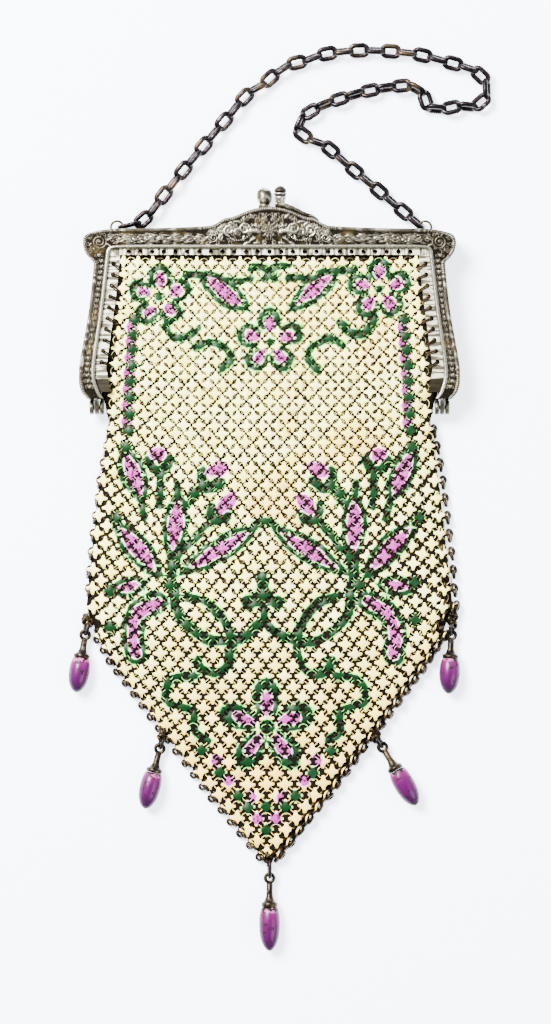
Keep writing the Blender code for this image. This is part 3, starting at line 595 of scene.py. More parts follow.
# Half the width and the points of each green line
strokes = (
    (1.15, ((-28.4, -11.0), (-24.1, -11.5), (-18.5, -11.7), (-15.0, -13.4), (-10.0, -13.5),
            (-6.3, -13.4))),
    (1.1, ((-6.3, -9.4), (-2.7, -9.4), (0.0, -11.4), (-2.0, -13.7))),
    (1.3, ((-34.8, -27.4), (-32.4, -31.7), (-28.1, -32.4), (-23.6, -29.2))),
    (1.3, ((-24.4, -35.9), (-19.7, -33.6), (-14.2, -36.3), (-12.9, -39.8), (-15.6, -43.3))),
    (1.5, ((-40.0, -73.8), (-38.3, -76.4), (-36.0, -77.6), (-34.2, -76.2), (-32.8, -73.4))),
    (1.3, ((-36.0, -77.6), (-35.8, -83.5), (-35.4, -89.0))),
    (1.6, ((-21.3, -76.9), (-21.5, -80.5), (-19.8, -82.6), (-17.6, -82.4), (-15.6, -80.9))),
    (1.3, ((-20.2, -82.0), (-22.9, -84.2), (-25.0, -87.2), (-27.2, -90.0))),
    (1.5, ((-17.8, -88.9), (-18.3, -91.4), (-16.8, -93.6), (-14.5, -93.8), (-12.2, -92.0))),
    (1.1, ((-19.1, -95.6), (-22.6, -99.1), (-25.2, -102.4), (-28.0, -105.0), (-30.2, -114.0))),
    (1.1, ((-42.1, -85.1), (-41.3, -88.5), (-40.0, -93.0))),
    (1.2, ((-30.0, -81.6), (-29.6, -86.2))),
    (1.6, ((-30.2, -104.0), (-30.2, -114.0))),
    (1.3, ((0.0, -93.9), (-3.4, -94.8))),
    (1.8, ((0.0, -112.6), (0.0, -117.0), (-2.3, -120.0), (-4.6, -121.0))),
    (1.3, ((-4.6, -119.6), (-6.0, -121.0), (-4.8, -122.6))),
    (1.3, ((0.0, -122.3), (0.0, -126.3), (-2.0, -129.0), (-4.7, -131.3))),
    (1.5, ((-24.9, -119.0), (-19.2, -120.8), (-15.5, -124.0), (-13.0, -127.7),
           (-11.2, -132.7), (-11.2, -138.0), (-13.0, -143.0), (-17.2, -144.9),
           (-21.6, -143.0), (-22.2, -140.0))),
    (1.6, ((-29.1, -116.0), (-29.1, -122.7), (-27.2, -127.0), (-22.2, -131.3),
           (-16.9, -134.0), (-10.5, -133.7), (-5.5, -132.0), (-0.7, -127.7))),
    (1.3, ((-23.7, -145.7), (-31.1, -147.0), (-33.4, -151.1), (-32.4, -154.7),
           (-24.4, -157.6), (-24.4, -164.1), (-20.1, -167.1))),
)
# Middle and radius
greenDots = (
    (-19.0, -171.1, 2.0), (-13.8, -177.6, 1.9), (-9.6, -185.3, 1.9), (-6.4, -189.4, 2.0),
    (0.0, -189.4, 2.0), (0.0, -197.0, 1.9), (-49.3, -93.0, 2.0), (-51.2, -116.0, 2.1),
    (-50.4, -128.2, 2.2), (-22.9, -84.0, 2.0), (-30.2, -114.0, 2.2))
pinkDots = ((-16.6, -173.9, 1.9), (-12.6, -180.6, 1.9), (-5.2, -186.2, 1.9), (-3.0, -193.4, 1.9))
# The green lines round the petals and leaves: their distance and half their width
outline = {"gap": 1.35, "half": 0.78, "flowerHalf": 1.0}


def lensGap(x, y, start, end, half):
    # Signed distance to a pointed leaf between two tips.
    a, b = np.array(start), np.array(end)
    length = float(np.hypot(*(b - a)))
    radius = (length ** 2 / 4 + half ** 2) / (2 * half)
    across = np.array((-(b - a)[1], (b - a)[0])) / length
    middle = (a + b) / 2
    gaps = []
    for side in (-1, 1):
        centre = middle + across * side * (radius - half)
        gaps.append(np.hypot(x - centre[0], y - centre[1]) - radius)
    return np.maximum(*gaps)


def lineGap(x, y, points):
    # Distance to a line through points.
    gap = np.full(len(x), 1e3)
    for (ax, ay), (bx, by) in zip(points, points[1:]):
        dx, dy = bx - ax, by - ay
        t = np.clip(((x - ax) * dx + (y - ay) * dy) / (dx * dx + dy * dy), 0, 1)
        gap = np.minimum(gap, np.hypot(x - ax - t * dx, y - ay - t * dy))
    return gap


def turnedBy(x, y, angle):
    turn = math.radians(angle)
    return (x * math.cos(turn) + y * math.sin(turn), -x * math.sin(turn) + y * math.cos(turn))


def paintGaps(points):
    # Pink and green signed distances at points given in metres.
    y = points[:, 1] / mm
    full = points[:, 0] / mm - readTable(axisPath, y)
    x = -np.abs(full)
    # The print sits a little askew near the mouth
    y = y - np.interp(-y, (0.0, 25.0, 60.0), (1.25, 1.25, 0.0)) * full / 36.0
    pink = np.full(len(x), 1e3)
    green = np.full(len(x), 1e3)
    for (cx, cy), reach, long, wide in flowers:
        fx, fy = (x - cx if cx else full), y - cy
        big = long > 3
        green = np.minimum(green, np.hypot(fx, fy) - (2.7 if big else 1.5))
        for petal in range(5):
            u, v = turnedBy(fx, fy, 90 + 72 * petal)
            u = u - reach
            # Petals are wider at their outer ends
            girth = wide * (1 + 0.22 * np.clip(u / long, -1, 1))
            gap = (np.hypot(u / long, v / girth) - 1) * wide * 1.1
            pink = np.minimum(pink, gap)
            ring = np.abs(gap - outline["gap"]) - outline["flowerHalf" if big else "half"]
            green = np.minimum(green, np.where(u > -long * 1.05, ring, 9.0))
    gaps = [lensGap(x, y, *leaf) for leaf in leaves]
    for gap in gaps + [lineGap(x, y, curvedLeaf) - 1.5]:
        pink = np.minimum(pink, gap)
        green = np.minimum(green, np.abs(gap - outline["gap"]) - outline["half"])
    for (cx, cy), long, wide, slope in tufts:
        u, v = turnedBy(x - cx, y - cy, slope)
        pink = np.minimum(pink, (np.hypot(u / long, v / wide) - 1) * wide)
    for half, line in strokes:
        path = [(p.x, p.y) for p in smoothLine(line, 4)]
        green = np.minimum(green, lineGap(x, y, path) - half)
    return np.minimum(pink, 9.0), np.minimum(green, 9.0)


def dotSpots(dots, parity):
    # The listed dots on both sides, and the border that runs down the rows beside the mouth.
    column = 18
    spots = []
    for side in (-1, 1):
        spots += [(x * side + latticeMiddle(y), y, radius) for x, y, radius in dots]
        for row in range(8 + parity, 25 - 2 * parity, 2):
            x, high, _ = latticeSpot(row, column * side)
            spots.append((x - 0.8 * parity, high, 1.9 - 0.1 * parity))
    return spots


def paintDots(pink, green, points, places):
    # A green dot covers the one plate that it fell on, a pink one lies between the plates.
    plan = points[:, :2] / mm
    for x, y, radius in dotSpots(pinkDots, 1):
        np.minimum(pink, np.hypot(*(plan - (x, y)).T) - radius, out=pink)
    if not places:
        return
    centres = np.array(places)[:, :2] / mm
    each = len(points) // len(centres)
    for x, y, radius in dotSpots(greenDots, 0):
        near = int(np.argmin(np.hypot(*(centres - (x, y)).T)))
        own = slice(near * each, near * each + each)
        green[own] = np.hypot(*(plan[own] - centres[near]).T) - radius
        pink[own] = 9.0


def markPaint(mesh, loose, places=None):
    # Each plate or ring has moved a little since it was painted.
    still = readAll(mesh.vertices, "co", 3)
    tone = readAll(mesh.attributes["tone"].data, "value")
    points = still.copy()
    for axis, pace in ((0, 911.0), (1, 1733.0)):
        points[:, axis] += np.sin(tone * pace) * loose * mm
    pink, green = paintGaps(points)
    paintDots(pink, green, still, places)
    marked(mesh, "pinkGap", pink)
    marked(mesh, "greenGap", green)


def planUv(mesh):
    # A plan of the mesh for baking: faces that look up at the left, the others at the right.
    points = readAll(mesh.vertices, "co", 3)[:, :2]
    low, high = points.min(0), points.max(0)
    flat = (points - low) / (high - low) * np.array((0.49, 0.99)) + 0.005
    down = readAll(mesh.polygons, "normal", 3)[:, 2] < 0.15
    sizes = readAll(mesh.polygons, "loop_total", kind=np.int32)
    spread = flat[readAll(mesh.loops, "vertex_index", kind=np.int32)]
    spread[:, 0] += np.where(np.repeat(down, sizes), 0.5, 0.0)
    layer = mesh.uv_layers.new(name="OFBake")
    layer.data.foreach_set("uv", spread.astype(np.float32).ravel())


# The "inner" colour is the near-black painted shade of faces that look into the purse
enamel = {"cream": "#FCF078", "creamPale": "#FCF6A0", "creamDeep": "#EFB944",
          "green": "#002C0C", "greenDeep": "#001604", "mint": "#7CD468",
          "pink": "#A03088", "pinkDeep": "#400A30", "pinkPale": "#EC9CCC",
          "metal": "#1A120A", "wear": "#5C4E36", "inner": "#0A0603"}


def enamelPaint(name, painted=True, outward=1.0, thin=0.0):
    # Cream enamel with the flowers on the outer side and bare metal at its edges; faces that
    # look into the purse get a near-black painted shade. On the rings the paint is thin: in
    # places it shows only the pale edge colours.
    n = Nodes(bpy.data.materials.new(name))
    tone = n.attribute("tone")
    edge = n.attribute("edge")
    grain = n.noise(900.0, 4.0, 0.6)
    broad = n.noise(38.0, 2.0)
    fine = n.noise(3200.0, 2.0)
    cream = n.mix(n.span(tone, 0.0, 1.0), enamel["cream"], enamel["creamPale"])
    cream = n.mix(n.span(broad, 0.5, 0.72, 0.0, 0.55), cream, enamel["creamDeep"])
    cream = n.mix(n.span(grain, 0.60, 0.78, 0.0, 0.5), cream, enamel["creamDeep"])
    spot = n.add("SeparateXYZ", {0: n.place()})
    lower = n.span(spot.outputs[1], -0.11, -0.185)
    cream = n.mix(n.math("MULTIPLY", lower, 0.65), cream, enamel["creamDeep"])
    colour = cream
    if painted:
        wobble = n.math("MULTIPLY", n.math("SUBTRACT", grain, 0.5), 1.1)
        green = n.math("ADD", n.attribute("greenGap"), wobble)
        pink = n.math("ADD", n.attribute("pinkGap"), wobble)
        hue = n.mix(n.span(fine, 0.35, 0.65), enamel["greenDeep"], enamel["green"])
        blush = n.span(n.noise(1150.0, 2.0), 0.36, 0.50)
        rose = n.mix(blush, enamel["pinkDeep"], enamel["pink"])
        if thin:
            faint = n.span(tone, thin, thin - 0.1)
            hue = n.mix(faint, hue, enamel["mint"])
            rose = n.mix(faint, rose, enamel["pinkPale"])
        colour = n.mix(n.span(green, 0.60, 0.15), colour, enamel["mint"])
        colour = n.mix(n.span(green, 0.12, -0.10), colour, hue)
        colour = n.mix(n.span(pink, 0.50, 0.15), colour, enamel["pinkPale"])
        colour = n.mix(n.span(pink, 0.12, -0.12), colour, rose)
    worn = n.math("ADD", edge, n.math("MULTIPLY", grain, 0.8))
    bare = n.span(worn, 1.43, 1.52)
    metal = n.mix(n.span(fine, 0.4, 0.6), enamel["metal"], enamel["wear"])
    facing = n.math("MULTIPLY", n.upward(), outward)
    if thin:
        # The paint lies only on the top of the wire
        crest = n.math("MULTIPLY_ADD", lower, 0.12, n.math("MULTIPLY_ADD", tone, -0.12, facing))
        bare = n.math("MAXIMUM", bare, n.span(crest, 0.955, 0.86))
    else:
        bare = n.math("MAXIMUM", bare, n.span(facing, 0.35, 0.1))
    # Painted shade: faces that look into the purse are coloured near black, and below they lose
    # their metal reflection
    inner = n.span(facing, 0.25, -0.05)
    colour = n.mix(bare, colour, metal)
    colour = n.mix(inner, colour, enamel["inner"])
    shine = n.math("MULTIPLY", bare, n.math("SUBTRACT", 1.0, inner))
    height = n.math("ADD", n.math("MULTIPLY", grain, 0.6), n.math("MULTIPLY", bare, -0.5))
    return n.set(colour=colour, rough=n.span(bare, 0.0, 1.0, 0.42, 0.55), metal=shine,
                 spec=0.13, bump=n.bump(height, 0.00008, 0.7))


def webPaint():
    # The inner side of the mesh, seen between the plates: the rings' dark metal, coloured near
    # black as painted shade for the shadowed inside of the purse.
    n = Nodes(bpy.data.materials.new("innerShadeWeb"))
    grain = n.noise(1300.0, 3.0, 0.6)
    colour = n.mix(n.span(grain, 0.45, 0.75), "#060402", "#140E07")
    return n.set(colour=colour, rough=0.8, spec=0.06, bump=n.bump(grain, 0.0003, 0.8))


# How far the web goes past the bag's edge at each height: under the rails, then short of it
webReach = ((-3.9, 4.0), (-49.0, 3.2), (-54.0, 0.8), (-58.0, 0.0), (-62.0, -1.4), (-124.0, -1.4),
            (-196.0, -1.4), (-207.0, -1.0))


def innerShadeWeb(height, side):
    # A closed thin sheet under the plates: the many rings' inner parts, taken together, and a
    # painted shade sheet that keeps the gaps dark.
    columns, pitch, top, low = 44, 1.5, -3.9, -206.4
    verts, faces, rows = [], [], []
    y = top
    while y > low:
        rows.append(y)
        y -= pitch
    for depth in (0.95, 1.10):
        for y in rows:
            half = max(readTable(bagEdge, y) + readTable(webReach, y), 1.0)
            for column in range(columns + 1):
                x = (2 * column / columns - 1) * half
                z = height(x * mm, y * mm) - side * depth * mm
                verts.append((x * mm, y * mm, z))
    across = columns + 1
    lower = len(rows) * across
    for row in range(len(rows) - 1):
        for column in range(columns):
            a = row * across + column
            quad = (a, a + across, a + across + 1, a + 1)
            faces.append(quad)
            faces.append(tuple(lower + index for index in reversed(quad)))
    rim = list(range(across))
    rim += [row * across + columns for row in range(1, len(rows))]
    rim += [(len(rows) - 1) * across + column for column in range(columns - 1, -1, -1)]
    rim += [row * across for row in range(len(rows) - 2, 0, -1)]
    for a, b in zip(rim, rim[1:] + rim[:1]):
        faces.append((a, b, lower + b, lower + a))
    return outward(newMesh(verts, faces))


def buildBag():
    shadeWeb = webPaint()
    back = enamelPaint("enamelBack", painted=False, outward=-1.0)
    paints = {1: (enamelPaint("enamelFront"), enamelPaint("enamelFrontRings", thin=0.6)),
              -1: (back, back)}
    chance = random.Random(bag["seed"])
    wire = bag["ringWire"]
    for name, side, node in (("meshFront", 1, "mesh_front"), ("meshBack", -1, "mesh_back")):
        height = castHeight(node, side == 1)
        plate = starPlate(side == 1)
        ring = wireRing(bag["ringWidth"] * mm, bag["ringWidth"] * mm, wire * mm,
                        *((14, 5) if side == 1 else (12, 4)))
        if side == -1:
            plate.transform(Matrix.Rotation(math.pi, 4, "X"))
        shift = (0.0, 0.0) if side == 1 else (0.6, -0.4)
        # The side that the purse lies on is pressed flat
        tilt, lift = (bag["tilt"], 0.0) if side == 1 else (0.4 * bag["tilt"], 0.12)
        # Name, shape, distance under the cast surface, turn, spread of the sizes, stray paint
        sorts = (("Plates", plate, bag["dome"] + 0.05, bag["turn"], 0.03, 0.35),
                 ("Rings", ring, bag["ringDrop"] + wire / 2 + 0.2, 0.0, 0.04, 0.45))
        for parity, (sort, shape, drop, turn, loose, stray) in enumerate(sorts):
            spots = latticeSpots(parity, shift)
            laid = layMesh(height, spots, drop + lift, chance, tilt, turn, loose, side)
            paint = paints[side][parity]
            mesh = scattered(*laid, shape, paint)
            if side == 1:
                markPaint(mesh, stray, None if parity else laid[0])
            planUv(mesh)
            dress(name + sort, mesh, paint, () if parity else (node,))
            print("stage:", name + sort, len(spots))
        # The near-black sheet under the plates: the rings' inner parts, coloured as painted shade
        dress(name + "Web", innerShadeWeb(height, side), shadeWeb)


edgeRings = {"size": 3.7, "wire": 1.3, "paleWire": 0.8, "bunch": 6, "bunchStart": 0.8,
             "bunchStep": 0.65, "bunchLift": 2.3, "bunchSize": 0.95}
# Side, first height, lean, distance out, distance down, size and turn for each run of rings
edgeRuns = {
    "edgeRingsLeft": ((-1, -60.0, 46, -1.7, 0.4, 0.92, 1.0), (-1, -60.0, 76, -1.7, 2.0, 0.85, 1.0),
                      (-1, -126.0, 50, 1.5, 1.8, 0.85, 1.0)),
    "edgeRingsRight": ((1, -124.0, 58, 1.2, 0.4, 1.15, 0.55),),
    "edgeRingsOuter": ((1, -60.0, 44, -0.2, 0.4, 1.0, 1.0), (1, -124.0, 76, 2.5, 1.0, 1.0, 1.0),
                       (1, -60.0, 78, 0.2, 2.0, 0.95, 1.0)),
}


def outerPlace(row, side):
    # The place just outside the last plate of a row.
    span = len(meshRows) - 1 - row
    if span <= bag["pointRows"]:
        return side * (span + 1)
    y = meshRows[row]
    edge = readTable(bagEdge, y)
    limit = edge - readTable(plateLimit, y)
    place = side * (int(edge / readTable(latticeSteps, y)) + 3)
    while (place + row) % 2 or abs(latticeSpot(row, place)[0]) > limit:
        place -= side
    return place + side


def buildEdgeRings():
    # The rings that join front and back: tucked in along the left, half open at the point,
    # with cream arcs at its right.
    chance = random.Random(5)
    dark = gunmetal("edgeRings", "#0E0A06", "#2C2317", "#84754F")
    pale = enamelPaint("enamelEdgeRings", painted=False, thin=0.4)
    half = edgeRings["size"] / 2
    for name, runs in edgeRuns.items():
        look = pale if name == "edgeRingsRight" else dark
        places, turns, sizes, tones = [], [], [], []
        for side, first, lean, out, down, size, share in runs:
            for row, y in enumerate(meshRows):
                if y > first:
                    continue
                x, high, _ = latticeSpot(row, outerPlace(row, side))
                high -= down
                limit = max(readTable(bagEdge, high), 3.4) + (0.8 if look is pale else 0.1)
                x = min(abs(x) + out, limit + min(out + 0.5, 0.0))
                slope = math.atan2(readTable(bagEdge, high - 1) - readTable(bagEdge, high + 1), 2)
                grown = size * chance.uniform(0.95, 1.05)
                tip = math.radians(lean + chance.uniform(-7, 7))
                z = half * grown * math.sin(tip) + edgeRings["wire"] / 2 + 0.1
                places.append((side * x * mm, high * mm, z * mm))
                turns.append((0.0, side * tip,
                              side * slope * share + math.radians(chance.uniform(-12, 12))))
                sizes.append((grown, grown, grown))
                tones.append(chance.random())
        # A small bunch at each drop
        e = edgeRings
        for lug, _, way, _ in dropSpots() if look is dark else ():
            if (lug.x > 1.0) != (name == "edgeRingsOuter"):
                continue
            for index in range(e["bunch"]):
                across = Vector((-way.y, way.x, 0.0)) * chance.uniform(-0.7, 0.7)
                spot = lug - way * (e["bunchStep"] * index - e["bunchStart"]) + across
                places.append((spot.x * mm, spot.y * mm, e["bunchLift"] * mm))
                turns.append([math.radians(chance.uniform(*span))
                              for span in ((35, 80), (-50, 50), (0, 180))])
                sizes.append([e["bunchSize"]] * 3)
                tones.append(chance.random())
        ring = wireRing(e["size"] * mm, e["size"] * mm,
                        e["paleWire" if look is pale else "wire"] * mm, 18, 6)
        mesh = scattered(places, turns, sizes, tones, ring, look)
        dress(name, mesh, look)
    print("stage: edge rings")


# The cast frame, in millimetres: a loft along the same edges as the CAD, with the relief

frameWork = {
    "halfWidth": 63.3, "hingeDrop": 56.0, "barHeight": 6.8, "crownHalf": 21.9,
    "crownRise": 7.05, "armWidth": 5.0, "halfDepth": 5.8, "border": 1.4, "ground": 0.42,
    "steps": 26, "across": 34, "ropePitch": 0.62, "ropeDepth": 0.10, "edgeLow": 1.1,
    "wall": 0.8,
}
# Share of the drop to the hinge, of the half width and of the arm's width
armSections = ((0.950, 0.958, 1.12), (0.895, 0.992, 1.20), (0.770, 1.000, 1.08),
               (0.440, 0.950, 0.96), (0.190, 0.925, 0.98))
# Outer and inner edge of the corner lobe, in shares of the half width and the bar's height
cornerSections = ((0.927, -1.13, 0.842, -1.13), (0.964, -0.74, 0.839, -0.88),
                  (0.979, -0.29, 0.837, -0.70), (0.972, 0.09, 0.832, -0.59),
                  (0.937, 0.29, 0.821, -0.52), (0.831, 0.46, 0.782, -0.50),
                  (0.600, 0.50, 0.600, -0.50))
# Share of the crown's half width and of its rise
crownSections = ((1.0, 0.09), (0.82, 0.21), (0.68, 0.47), (0.543, 0.55), (0.315, 0.84),
                 (0.1, 1.0))


def mirrored(left):
    # Pairs of outer and inner places, carried on to the right half.
    return left + [((-ox, oy), (-ix, iy)) for (ox, oy), (ix, iy) in reversed(left)]


def frameEdges():
    # Outer and inner edge points from the left hinge round to the right one.
    f = frameWork
    left = []
    for drop, outer, width in armSections:
        x, y = -outer * f["halfWidth"], -drop * f["hingeDrop"]
        left.append(((x, y), (x + width * f["armWidth"], y)))
    for ox, oy, ix, iy in cornerSections:
        left.append(((-ox * f["halfWidth"], oy * f["barHeight"]),
                     (-ix * f["halfWidth"], iy * f["barHeight"])))
    for along, rise in crownSections:
        x = -along * f["crownHalf"]
        left.append(((x, f["barHeight"] / 2 + rise * f["crownRise"]), (x, -f["barHeight"] / 2)))
    outer, inner = (smoothLine(line, f["steps"]) for line in zip(*mirrored(left)))
    return np.array(outer)[:, :2], np.array(inner)[:, :2]


def crownTop(x):
    outer, _ = frameEdges()
    half = outer[outer[:, 1] > 0]
    return float(np.interp(x, half[:, 0], half[:, 1]))


# Relief strokes of the cast ornament, in millimetres

def spiral(x, y, radius, start, turns, way, fall=0.78):
    # A volute that winds inwards from its rim.
    points = []
    count = int(abs(turns) * 14) + 2
    for index in range(count + 1):
        share = index / count
        angle = math.radians(start) + way * share * turns * 2 * math.pi
        reach = radius * (1 - fall * share)
        points.append((x + reach * math.cos(angle), y + reach * math.sin(angle)))
    return points


def around(x, y, angle, reach):
    turn = math.radians(angle)
    return x + reach * math.cos(turn), y + reach * math.sin(turn)


def leafStroke(x, y, angle, length, bend=0.0):
    turn = math.radians(angle)
    points = []
    for index in range(7):
        t = index / 6
        side = bend * length * t * t
        points.append((x + length * t * math.cos(turn) - side * math.sin(turn),
                       y + length * t * math.sin(turn) + side * math.cos(turn)))
    return points


def reliefStrokes():
    # The left half: points, half width, height and whether it swells like a leaf.
    work = []

    def stem(points, wide=0.26, high=0.75):
        work.append((points, wide, high, False))

    def leaf(points, wide=0.5, high=0.9):
        work.append((points, wide, high, True))

    def curl(x, y, radius, high, wide=0.16, wound=(0.6, 1.1)):
        radius, start = chance.uniform(*radius), chance.uniform(0, 360)
        turns = chance.uniform(*wound) if wound else 0.9
        line = spiral(x, y, radius, start, turns, chance.choice((-1, 1)), 0.6)
        stem(line, wide, chance.uniform(*high))

    # Small curls that fill the ground between the larger forms
    chance = random.Random(29)
    for _ in range(150):
        x = -chance.uniform(0.5, 53.0)
        curl(x, chance.uniform(-1.7, crownTop(x) - 2.0), (0.45, 0.85), (0.45, 0.7), 0.17)
    for _ in range(170):
        x = -chance.uniform(0.3, 20.0)
        curl(x, chance.uniform(1.5, crownTop(x) - 1.9), (0.4, 0.75), (0.5, 0.75))
    for _ in range(14):
        curl(chance.uniform(-60.5, -53.5), chance.uniform(-5.0, 1.8), (0.4, 0.7), (0.4, 0.6),
             wound=None)
    # Rose in the middle of the crown
    rose = 3.4
    for ring, (count, reach, wide) in enumerate(((8, 1.8, 0.42), (6, 1.15, 0.36), (4, 0.5, 0.3))):
        for petal in range(count):
            angle = 360 / count * petal + 90 + ring * 36
            leaf([around(0.0, rose, angle, reach * share) for share in (0.55, 1.15)], wide, 0.6)
    # Leaves that fan out round the rose
    for angle, length, bend in ((105, 1.7, 0.5), (135, 2.2, 0.6), (165, 2.0, 0.6),
                                (205, 2.2, -0.6), (240, 1.8, -0.6), (262, 1.6, -0.4)):
        leaf(leafStroke(*around(0.0, rose, angle, 2.3), angle, length * 0.7, bend), 0.3, 0.55)
    # Big bright scrolls at each side of the rose
    leaf(leafStroke(-3.6, 2.2, 160, 4.6, 0.5), 0.72, 1.1)
    leaf(leafStroke(-3.4, 3.6, 140, 2.6, 0.5), 0.42, 0.9)
    stem(spiral(-8.2, 3.2, 2.1, -60, 1.5, 1), 0.30, 0.85)
    stem([(-6.2, 1.5), (-8.6, -0.4), (-11.6, -0.6), (-13.9, 0.9)], 0.34, 0.9)
    stem(spiral(-13.4, 2.6, 1.9, -90, 1.3, -1), 0.34, 0.9)
    for x, y, angle, length in ((-9.6, 5.3, 160, 2.3), (-9.9, 3.2, 190, 2.2),
                                (-5.2, 6.6, 120, 2.0), (-4.6, 0.2, 200, 2.4),
                                (-8.4, 0.9, 250, 1.8), (-11.6, 4.3, 130, 1.7),
                                (-11.2, 1.2, 90, 1.6), (-15.7, 1.4, 215, 2.0),
                                (-15.4, 3.4, 165, 1.7), (-6.6, -1.4, 185, 2.0),
                                (-3.2, -1.5, 175, 2.2)):
        leaf(leafStroke(x, y, angle, length, 0.25), 0.48, 0.85)
    # Running scroll along the bar
    x = -18.6
    up = 1
    while x > -50.5:
        stem(spiral(x, 0.15 * up, 1.42, 200 if up > 0 else 160, 1.5, up), 0.25, 0.8)
        stem([(x + 1.4, 0.3 * up), (x + 2.5, -0.9 * up), (x + 3.7, -0.9 * up)], 0.25, 0.7)
        for step, angle in ((1.9, 120), (2.6, 60), (2.2, 90)):
            leaf(leafStroke(x + step, -0.6 * up, angle * up, 1.5, 0.2), 0.33, 0.75)
        for back, y, angle in ((0.4, 1.0, 160), (0.5, -1.2, 200)):
            leaf(leafStroke(x - back, y * up, angle * up, 1.2, 0.3), 0.3, 0.7)
        x -= 3.85
        up = -up
    # Scroll in the corner lobe
    stem(spiral(-56.5, -1.2, 2.4, 20, 2.1, -1, 0.86), 0.30, 0.6)
    leaf([(-56.6, -1.2), (-56.4, -1.2)], 0.45, 0.65)
    for angle in (70, 110, 150, 190, 230):
        leaf(leafStroke(*around(-56.5, -1.2, angle, 2.6), angle + 25, 1.2, 0.3), 0.3, 0.65)
    leaf(leafStroke(-53.8, -0.6, 20, 2.0, 0.2), 0.4, 0.8)
    leaf(leafStroke(-53.9, -1.9, -25, 1.6, -0.2), 0.4, 0.8)
    # Leaf chain down the arm
    outer, inner = frameEdges()
    arm = slice(0, len(outer) // 2)
    y = -6.2
    while y > -50.5:
        near = int(np.argmin(np.abs(outer[arm, 1] - y) + 99 * (outer[arm, 0] > -50)))
        x = (outer[near, 0] + inner[near, 0]) / 2
        for rise, angle, length, bend, wide, high in (
                (0.0, 128, 1.5, -0.25, 0.24, 0.7), (0.0, 52, 1.5, 0.25, 0.24, 0.7),
                (0.2, 90, 1.1, 0.0, 0.2, 0.8)):
            leaf(leafStroke(x, y + rise, angle, length, bend), wide, high)
        for way in (1, -1):
            stem(spiral(x - 0.95 * way, y + 0.3, 0.5, 90, 0.9, way, 0.6), 0.15, 0.55)
        y -= 1.9
    return work


def reliefField(points):
    # Height 0 to 1 of the ornament at plan points in millimetres.
    tree = kdtree.KDTree(len(points))
    for index, (x, y) in enumerate(points):
        tree.insert((x, y, 0.0), index)
    tree.balance()
    height = np.zeros(len(points))
    for line, wide, high, pointed in reliefStrokes():
        if len(line) > 2:
            path = smoothLine(line, 4)
        else:
            start, end = (Vector((*spot, 0.0)) for spot in line)
            path = [start.lerp(end, step / 5) for step in range(6)]
        for index, spot in enumerate(path):
            share = index / (len(path) - 1)
            # Leaves swell in the middle, stems taper
            swell = math.sin(math.pi * min(0.15 + share * 0.85, 1.0))
            reach = wide * (swell * 0.8 + 0.2 if pointed else 1.0 - 0.35 * share)
            for side in (-1, 1):
                for _, where, gap in tree.find_range((spot.x * side, spot.y, 0.0), reach):
                    rise = high * math.sqrt(max(1 - (gap / reach) ** 2, 0.0))
                    if pointed:
                        rise *= 0.82 + 0.18 * min(gap / reach * 2.2, 1.0)
                    height[where] = max(height[where], rise)
    return height


def foldedUv(mesh, rows, count, side):
    # A baking plan: the strip folded into six rows.
    layer = mesh.uv_layers.new(name="OFBake")
    folds, inset = 6, 0.02
    perFold = math.ceil((rows - 1) / folds)
    spread = np.zeros((len(mesh.loops), 2), dtype=np.float32)
    uvs = []
    for row in range(rows - 1):
        fold, place = divmod(row, perFold)
        left, right = (place + inset) / perFold, (place + 1 - inset) / perFold
        for column in range(count):
            low, high = [(fold + inset + (1 - 2 * inset) * (column + step) / count) / folds
                         for step in (0, 1)]
            corner = [(left, low), (left, high), (right, high), (right, low)]
            uvs.extend(corner[::side])
    spread[:len(uvs)] = uvs
    layer.data.foreach_set("uv", spread.ravel())


